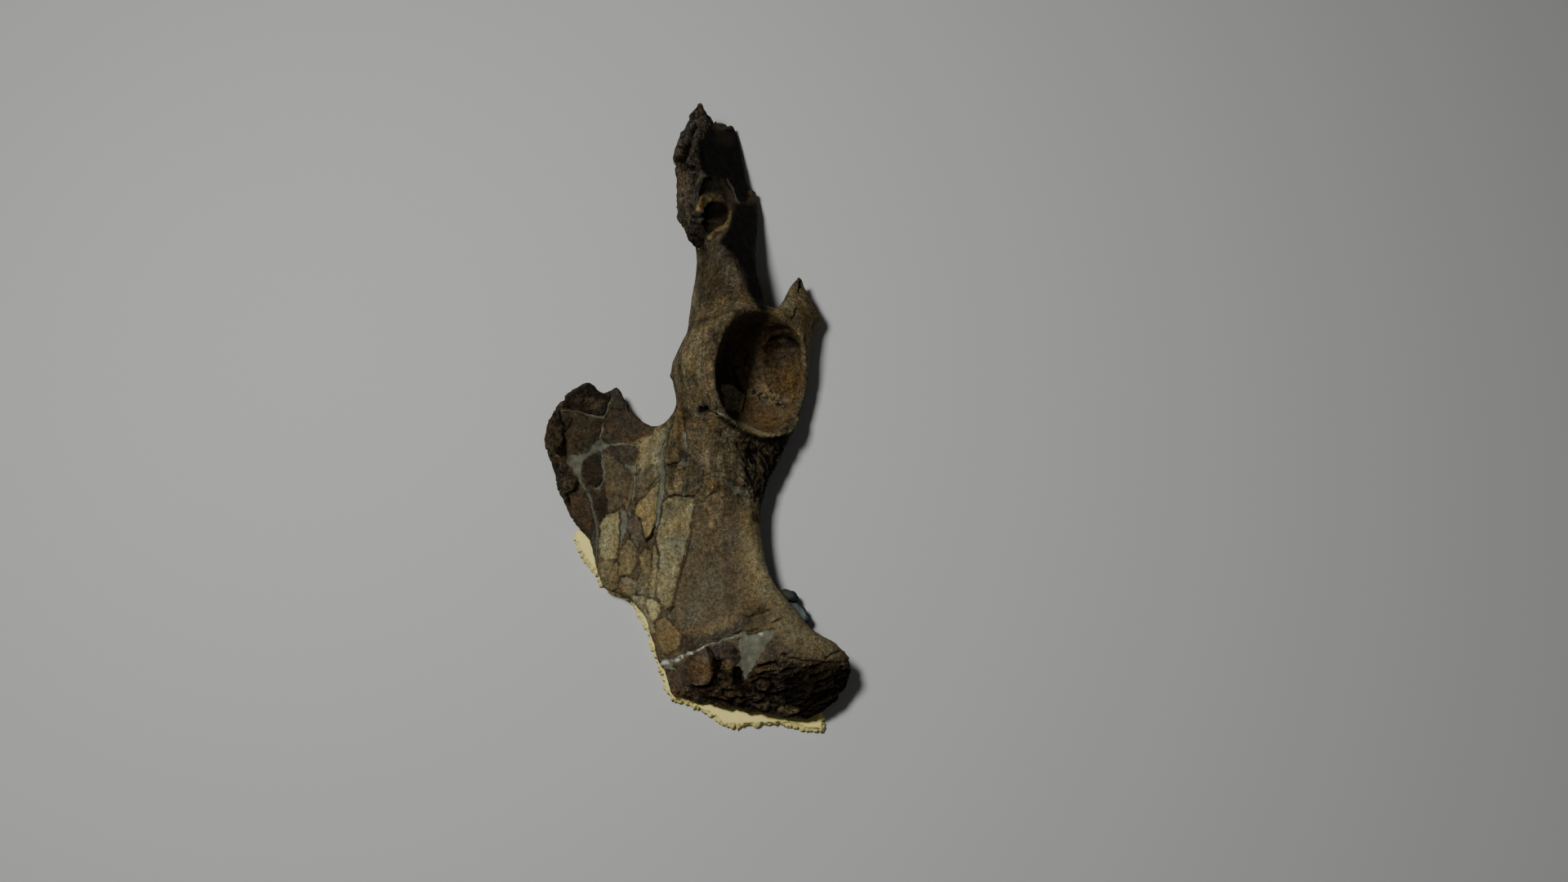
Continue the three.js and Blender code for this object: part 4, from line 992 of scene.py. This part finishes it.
def muscle_scar(skin):
    """Slanting streaks below the socket's rim, painted shade in the undercut and a painted shadow under the
    lip.
    """
    scar = within(skin.exact, *SCAR) * skin.outside
    streak = ridged(slanted(skin.mm, 0.5), (5.5, 22, 9), 71, 2)
    knots = noise(skin.mm, 5, 72, 2)
    skin.rise += scar * (2.3 * streak + 1.3 * knots)
    skin.colour(DARK, scar * smooth(0.4, -0.5, streak + 0.6 * knots) * 0.85)
    skin.colour(LIGHT_TAN, scar * smooth(0.5, 0.95, streak + 0.3 * knots) * 0.3)
    # painted shade in the undercut below the rim
    undercut_shade = within(skin.places, UNDERCUT, 3) * skin.outside
    skin.colour(BLACK, 0.85 * undercut_shade * smooth(0.9, 0.3, streak + 0.3 * knots))
    # a painted shadow under the socket's lip, in a shallow groove
    lip_shadow_share = smooth(6, 1, line_reach(skin.places, LIP_SHADOW)) * skin.outside
    skin.rise -= LIP_DEPTH * lip_shadow_share
    skin.colour(BLACK, 0.8 * lip_shadow_share)
    skin.roughen(0.7 * scar)


def pale_streaks(skin):
    """Pale streaks on the left of the socket, below it and on the blade; on the flanks that face the light
    they are partly a painted highlight.
    """
    streak = noise(skin.mm, (5, 34, 9), 73, 3)
    for outline, soft in STREAKS:
        share = within(skin.cloudy, outline, soft) * skin.outside
        skin.graded(streak, share, (PALE, 0.0, 0.45, 0.7), (PINK_TAN, -0.05, -0.45, 0.7))
        skin.rise += 0.7 * share * streak


def shaft_lines(skin):
    """Fine lengthwise lines on the ischium's shaft, just below the broken end."""
    share = skin.stretch(SHAFT_TOP, SHAFT_FOOT, SHAFT_SIDE) * skin.front
    line = noise(skin.mm, (3.2, 30, 12), 74, 2)
    skin.rise += 0.7 * share * line
    skin.colour(GREY_BROWN, share * smooth(0.0, -0.45, line) * 0.75)


def socket(skin):
    """The socket's inside: a smooth floor, broken crusts, and the rippled hollow for the ligament."""
    mm = skin.mm
    cup = skin.cup
    fossa = smooth(3 * MM, -1 * MM, skin.fossa_gap) * cup
    wave = noise(mm + 3 * skin.fine[:, None], (14, 3.6, 6), 81, 2)
    skin.rise *= 1 - 0.5 * cup
    skin.rise += fossa * 0.7 * wave
    skin.paint_areas(CUP_AREAS, cup)
    skin.graded(wave, fossa, (TAN, 0.0, 0.6, 0.35), (CHOCOLATE, 0.1, -0.5, 0.4))
    for plate in (LOOSE_PLATE, LIP_PLATE):
        depth = depth_inside(skin.places, plate)
        skin.rise += CUP_PLATE_HEIGHT * smooth(-0.3, 1.0, depth) * cup
        skin.colour(BLACK, 0.7 * np.exp(-((depth + 0.2) / 0.7) ** 2) * cup)
    skin.colour(GREY_BROWN, cup * smooth(0.15, 0.6, noise(mm, 7, 84, 3)) * 0.35)
    speck = noise(mm, 3.4, 83, 2)
    crust = smooth(2.0, -1.5, line_reach(skin.places, CUP_CRUST)) * cup
    skin.rise += crust * (0.4 + 2.4 * speck)
    skin.graded(speck, crust, (FILLER, -0.1, 0.35, 0.8), (BLACK, 0.0, -0.35, 0.9))
    skin.roughen(0.5 * fossa)


def slabs_and_gaps(skin):
    """Single slabs, lumps and gaps, laid over the rough ground that they stand in."""
    spots = skin.exact + 0.35 * (skin.places - skin.exact)
    shade = 1 + 0.25 * skin.fine + 0.25 * noise(skin.mm, 5, 26, 2)
    for height, soft, colour, strength, outline in RELIEF:
        share = within(spots, outline, soft) * skin.front * (1 - 0.8 * skin.filler)
        skin.rise = skin.rise * (1 - 0.55 * share) + height * share
        skin.colour(toned(colour, shade), strength * share)


def standing_wedge(skin):
    """The fragment that stands proud of the crest: it climbs to a ridge at its right, with a painted
    highlight along the ridge and painted shade on its right face.
    """
    wedge = within(skin.places, WEDGE, 1.0) * skin.front
    skin.rise = skin.rise * (1 - 0.7 * wedge) + WEDGE_HEIGHT * smooth(*WEDGE_CLIMB, skin.x) * wedge
    top = smooth(*WEDGE_TOP, skin.y)
    # a painted highlight along the ridge and painted shade on the right face, over the wedge's reddish brown
    skin.graded(skin.x, wedge, (REDDISH, *WEDGE_LEFT, 0.55), (RIDGE_HIGHLIGHT, *WEDGE_RIDGE, 0.6 * top),
                (REDDISH, *WEDGE_RIGHT, 0.7))
    skin.coarse *= 1 - 0.75 * wedge


def open_cracks(skin):
    """Open cracks, deeper where they are wider, and single pits."""
    for line in CRACKS:
        depth = min(1, 0.35 + 0.4 * max(line[2::3]))
        skin.add_crack(depth * smooth(0.8, -0.5, line_reach(skin.places, line)) * skin.front)
    for px, py, radius in PITS:
        away = np.hypot(*(skin.places - (px, py)).T)
        skin.add_crack(smooth(radius, 0.3 * radius, away) * skin.front)
    skin.rise -= CRACK_DEPTH * skin.crack
    skin.colour(BLACK, 0.92 * skin.crack)


def mottle(skin):
    """Clouds, specks and fibres of tone that all the bone shares."""
    mm = skin.mm
    blade = 0.25 + 0.75 * smooth(*BLADE_GRAIN, skin.y)
    grain = noise(mm, (4, 26, 8), 6, 2) * blade
    spots = noise(mm, 6.5, 9, 2)
    calm = 1 - 0.45 * smooth(*BLADE_CALM, skin.y) * skin.bare
    tone = 1 + calm * (0.36 * skin.fine + 0.20 * skin.broad + 0.34 * spots) + 0.26 * grain * skin.bare
    neck = skin.stretch(NECK_TOP, NECK_FOOT, NECK_SIDE) * skin.outside
    tone += neck * (0.8 * noise(mm, (17, 30, 17), 27, 3) - 0.08 - 0.16 * smooth(*NECK_DARKER, skin.y))
    skin.tint = toned(skin.tint, np.clip(tone, 0.25, 2.0))
    skin.roughen(0.45 * neck)
    warm = (noise(mm, 26, 10, 3) + 0.9 * calm * noise(mm, (7, 12, 7), 28, 3)) * (1 - skin.filler)
    cool = (skin.outside * (1 - skin.crest) * (1 - skin.filler))[:, None] * np.array([-0.05, 0.0, 0.06])
    skin.tint = np.clip(skin.tint * (1 + cool + warm[:, None] * np.array([0.16, 0.0, -0.24])), 0.002, 0.9)


def dress_bone():
    bone = remeshed("innominate_bone", "bone_surface", BONE_VOXEL)
    mesh = bone.data
    relax(mesh, 8, smooth_bone)
    refine(mesh, seen)
    relax(mesh, 3, smooth_bone)
    sharpen(mesh)
    refine(mesh, drawn_or_rough)
    skin = Skin(*points_and_normals(mesh))
    plain_bone(skin)
    unseen_fragments(skin)
    skin.paint_areas(AREAS, skin.outside)
    fragments(skin)
    pale_streaks(skin)
    shaft_lines(skin)
    socket(skin)
    bands_and_knobs(skin)
    fill_joints(skin)
    rough_crest(skin)
    broken_end(skin)
    muscle_scar(skin)
    slabs_and_gaps(skin)
    standing_wedge(skin)
    open_cracks(skin)
    mottle(skin)
    moved = skin.points + skin.normals * (skin.rise * MM)[:, None]
    moved[:, 2] = np.maximum(moved[:, 2], 0)
    set_points(mesh, moved)
    finish_surface(mesh, skin.tint, bone_material())
    paint(mesh, "coarse", np.clip(skin.coarse, 0, 1))
    paint(mesh, "filler", skin.filler * (1 - skin.crack))
    thin_out(bone, MOST_TRIANGLES)
    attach(bone, "root")
    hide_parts("innominate_bone")


# ---- plaster bed and stones ----
def steepness(normals):
    """0 on level faces and 1 on upright ones."""
    return np.hypot(normals[:, 0], normals[:, 1])


def dress_bed():
    bed = remeshed("plaster_bed", "plaster_sheet", BED_VOXEL)
    mesh = bed.data
    relax(mesh, 1)
    refine(mesh, lambda points, normals: steepness(normals) > 0.3)
    points, normals = points_and_normals(mesh)
    mm = points / MM
    side = smooth(0.35, 0.75, steepness(normals))
    flat = mm * [1, 1, 0.25]
    teeth = 3.8 * ridged(flat, 4.6, 91) + 1.4 * noise(flat, 2.6, 92) + 2.6 * noise(flat, 15, 93) - 1.8
    outward = normals * [1, 1, 0]
    outward /= np.maximum(np.linalg.norm(outward, axis=1), 0.1)[:, None]
    slope = -BED_SLOPE * smooth(2, 12, mm[:, 2])
    torn = spread(mesh, outward * (side * (teeth + slope) * MM)[:, None], side, BED_RINGS)
    moved = points + torn + normals * (0.5 * noise(mm, 8, 94, 3) * MM)[:, None]
    moved[:, 2] = np.where(mm[:, 2] < 0.4, 0, np.maximum(moved[:, 2], 0))
    set_points(mesh, moved)
    shade = 1 + 0.08 * noise(mm, 14, 95, 3) - 0.16 * side * smooth(0.2, -0.6, noise(flat, 4, 96))
    dusty = smooth(0.2, 0.7, noise(mm, 24, 97, 3))
    tint = mix(toned(CREAM, shade), DUSTY_CREAM, 0.3 * dusty)
    finish_surface(mesh, np.clip(tint, 0, 0.9), plaster_material())
    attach(bed, "root")
    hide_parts("plaster_bed")


def dress_stone(node_name, seed, top, side, material):
    stone = remeshed(node_name, node_name.replace("prop_", "") + "_surface", STONE_VOXEL)
    mesh = stone.data
    relax(mesh, 3)
    points, normals = points_and_normals(mesh)
    mm = points / MM
    first, _, number = cells(mm, 15, seed)
    rise = -2.2 * smooth(0.25, 0.9, first) + 0.9 * noise(mm, 7, seed + 3, 3) + 1.2 * (number - 0.5)
    moved = points + normals * (rise * MM)[:, None]
    moved[:, 2] = np.maximum(moved[:, 2], 0)
    set_points(mesh, moved)
    # painted light on the faces turned up and toward the light, painted shade on the sides
    upper = smooth(0.3, 0.8, normals[:, 2] - 0.3 * normals[:, 0])
    tint = toned(mix(np.array([side]), top, upper), 1 + 0.25 * noise(mm, 5, seed + 5, 3))
    finish_surface(mesh, np.clip(tint, 0.002, 0.9), material)
    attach(stone, "root")
    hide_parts(node_name)


# ---- materials ----
class Shader:
    """A small helper for building one material's nodes."""

    def __init__(self, name):
        self.material = bpy.data.materials.new(name)
        self.material.use_nodes = True
        self.tree = self.material.node_tree
        self.surface = self.tree.nodes["Principled BSDF"]

    def node(self, kind, **settings):
        node = self.tree.nodes.new(kind)
        for key, value in settings.items():
            setattr(node, key, value)
        return node

    def give(self, target, value):
        """Gives an input a fixed value or the output of another node."""
        if isinstance(value, bpy.types.NodeSocket):
            self.tree.links.new(value, target)
        else:
            target.default_value = value

    def feed(self, node, **inputs):
        """Gives a node's inputs their values; an input's name is written with _ for spaces."""
        for name, value in inputs.items():
            self.give(node.inputs[name.replace("_", " ")], value)

    def attribute(self, name, output):
        return self.node("ShaderNodeAttribute", attribute_name=name).outputs[output]

    def place(self, stretch=(1, 1, 1)):
        """Object coordinates, stretched along each axis."""
        coordinates = self.node("ShaderNodeTexCoord")
        mapping = self.node("ShaderNodeMapping")
        self.feed(mapping, Scale=stretch, Vector=coordinates.outputs["Object"])
        return mapping.outputs["Vector"]

    def noise(self, scale, detail=4, roughness=0.6, stretch=(1, 1, 1)):
        texture = self.node("ShaderNodeTexNoise")
        self.feed(texture, Scale=scale, Detail=detail, Roughness=roughness, Vector=self.place(stretch))
        return texture.outputs["Fac"]

    def pits(self, scale, stretch=(1, 1, 1)):
        texture = self.node("ShaderNodeTexVoronoi")
        self.feed(texture, Scale=scale, Vector=self.place(stretch))
        return texture.outputs["Distance"]

    def remap(self, value, low, high, out_low, out_high):
        node = self.node("ShaderNodeMapRange")
        self.feed(node, From_Min=low, From_Max=high, To_Min=out_low, To_Max=out_high, Value=value)
        return node.outputs["Result"]

    def math(self, operation, a, b):
        node = self.node("ShaderNodeMath", operation=operation)
        self.give(node.inputs[0], a)
        self.give(node.inputs[1], b)
        return node.outputs[0]

    def times(self, a, b):
        return self.math("MULTIPLY", a, b)

    def bump(self, height, distance, **before):
        """A bump over the flat surface, or over the normal given as Normal."""
        node = self.node("ShaderNodeBump")
        self.feed(node, Distance=distance, Strength=1.0, Height=height, **before)
        return node.outputs["Normal"]

    def finish(self, tint, factor, normal, roughness, specular):
        """Wires the surface: the mesh's tint made lighter or darker by a factor, and the rest."""
        toned_tint = self.node("ShaderNodeVectorMath", operation="SCALE")
        self.give(toned_tint.inputs[0], tint)
        self.feed(toned_tint, Scale=factor)
        self.feed(self.surface, Base_Color=toned_tint.outputs[0], Normal=normal, Roughness=roughness,
                  Specular_IOR_Level=specular)
        return self.material


def bone_material():
    s = Shader("fossil_bone_surface")
    coarse = s.attribute("coarse", "Fac")
    filler = s.attribute("filler", "Fac")
    tint = s.attribute("tint", "Color")
    bare = s.math("SUBTRACT", 1.0, filler)
    mottles = s.remap(s.noise(190, 5, 0.75), 0.34, 0.66, 0.50, 1.55)
    speckle = s.remap(s.noise(560, 4, 0.75), 0.3, 0.7, 0.62, 1.40)
    fibre = s.remap(s.noise(380, 3, 0.6, (1, 0.7, 0.8)), 0.3, 0.7, 0.72, 1.30)
    pores = s.remap(s.pits(330, (1, 0.6, 1)), 0.0, 0.35, 0.50, 1.0)
    pore_share = s.math("POWER", pores, s.math("ADD", 0.30, coarse))
    grain = s.times(s.times(speckle, fibre), s.times(pore_share, mottles))
    grain = s.math("POWER", grain, s.math("ADD", 1.0, s.times(0.8, coarse)))
    even = s.remap(s.noise(300, 5, 0.7), 0.3, 0.7, 0.80, 1.20)
    factor = s.math("ADD", s.times(grain, bare), s.times(even, filler))
    broad = s.bump(s.times(s.noise(200, 5, 0.7), bare), 0.0022)
    fine = s.bump(s.times(s.noise(700, 4, 0.7), bare), 0.0009, Normal=broad)
    fibres = s.bump(s.noise(420, 3, 0.6, (1, 0.7, 0.8)), 0.0008, Normal=fine)
    pitted = s.bump(s.times(pores, coarse), 0.0020, Normal=fibres)
    roughness = s.remap(s.noise(90, 4, 0.6), 0.3, 0.7, 0.62, 0.86)
    return s.finish(tint, factor, pitted, roughness, 0.05)


def plaster_material():
    s = Shader("torn_plaster")
    tint = s.attribute("tint", "Color")
    crumb = s.remap(s.noise(700, 5, 0.8), 0.3, 0.7, 0.84, 1.12)
    bumps = s.bump(s.noise(480, 5, 0.75), 0.0009)
    roughness = s.remap(s.noise(120, 3, 0.6), 0.3, 0.7, 0.86, 0.97)
    return s.finish(tint, crumb, bumps, roughness, 0.2)


def stone_material():
    s = Shader("grey_stone_surface")
    tint = s.attribute("tint", "Color")
    speckle = s.remap(s.noise(560, 5, 0.8), 0.3, 0.7, 0.7, 1.3)
    bumps = s.bump(s.noise(420, 5, 0.7), 0.0008)
    roughness = s.remap(s.noise(150, 3, 0.6), 0.3, 0.7, 0.68, 0.88)
    return s.finish(tint, speckle, bumps, roughness, 0.3)


# ---- floor, light and camera ----
def add_floor():
    mesh = bpy.data.meshes.new("floor")
    corners = [(-1, -1), (1, -1), (1, 1), (-1, 1)]
    mesh.from_pydata([(FLOOR_REACH * x, FLOOR_REACH * y, 0) for x, y in corners], [], [(0, 1, 2, 3)])
    floor = new_object("floor", mesh)
    s = Shader("pale_floor")
    s.feed(s.surface, Base_Color=FLOOR_GREY, Roughness=0.9, Specular_IOR_Level=0.1)
    mesh.materials.append(s.material)


def add_light(name, direction, distance, size, power):
    """A square soft light that shines at the middle of the bone from a direction."""
    light = bpy.data.lights.new(name, "AREA")
    light.size = size
    light.energy = power
    obj = new_object(name, light)
    way = Vector(direction).normalized()
    obj.location = way * distance
    obj.rotation_euler = way.to_track_quat("Z", "Y").to_euler()


def add_sky():
    world = bpy.data.worlds.new("studio")
    world.use_nodes = True
    background = world.node_tree.nodes["Background"]
    background.inputs["Color"].default_value = SKY
    background.inputs["Strength"].default_value = SKY_STRENGTH
    bpy.context.scene.world = world


def add_camera():
    data = bpy.data.cameras.new("camera")
    data.sensor_width = SENSOR_WIDTH
    data.lens = SENSOR_WIDTH * CAMERA_DISTANCE / (FRAME_SIZE[0] * PIXEL)
    camera = new_object("camera", data)
    camera.location = Vector(TARGET + TO_CAMERA * CAMERA_DISTANCE)
    camera.rotation_euler = Matrix(((1, 0, 0), CAMERA_UP, TO_CAMERA)).transposed().to_euler()
    bpy.context.scene.camera = camera


add_camera()
for light in LIGHTS:
    add_light(*light)
add_sky()
add_floor()
dress_bone()
dress_bed()
stone_look = stone_material()
for stone in STONES:
    dress_stone(*stone, stone_look)
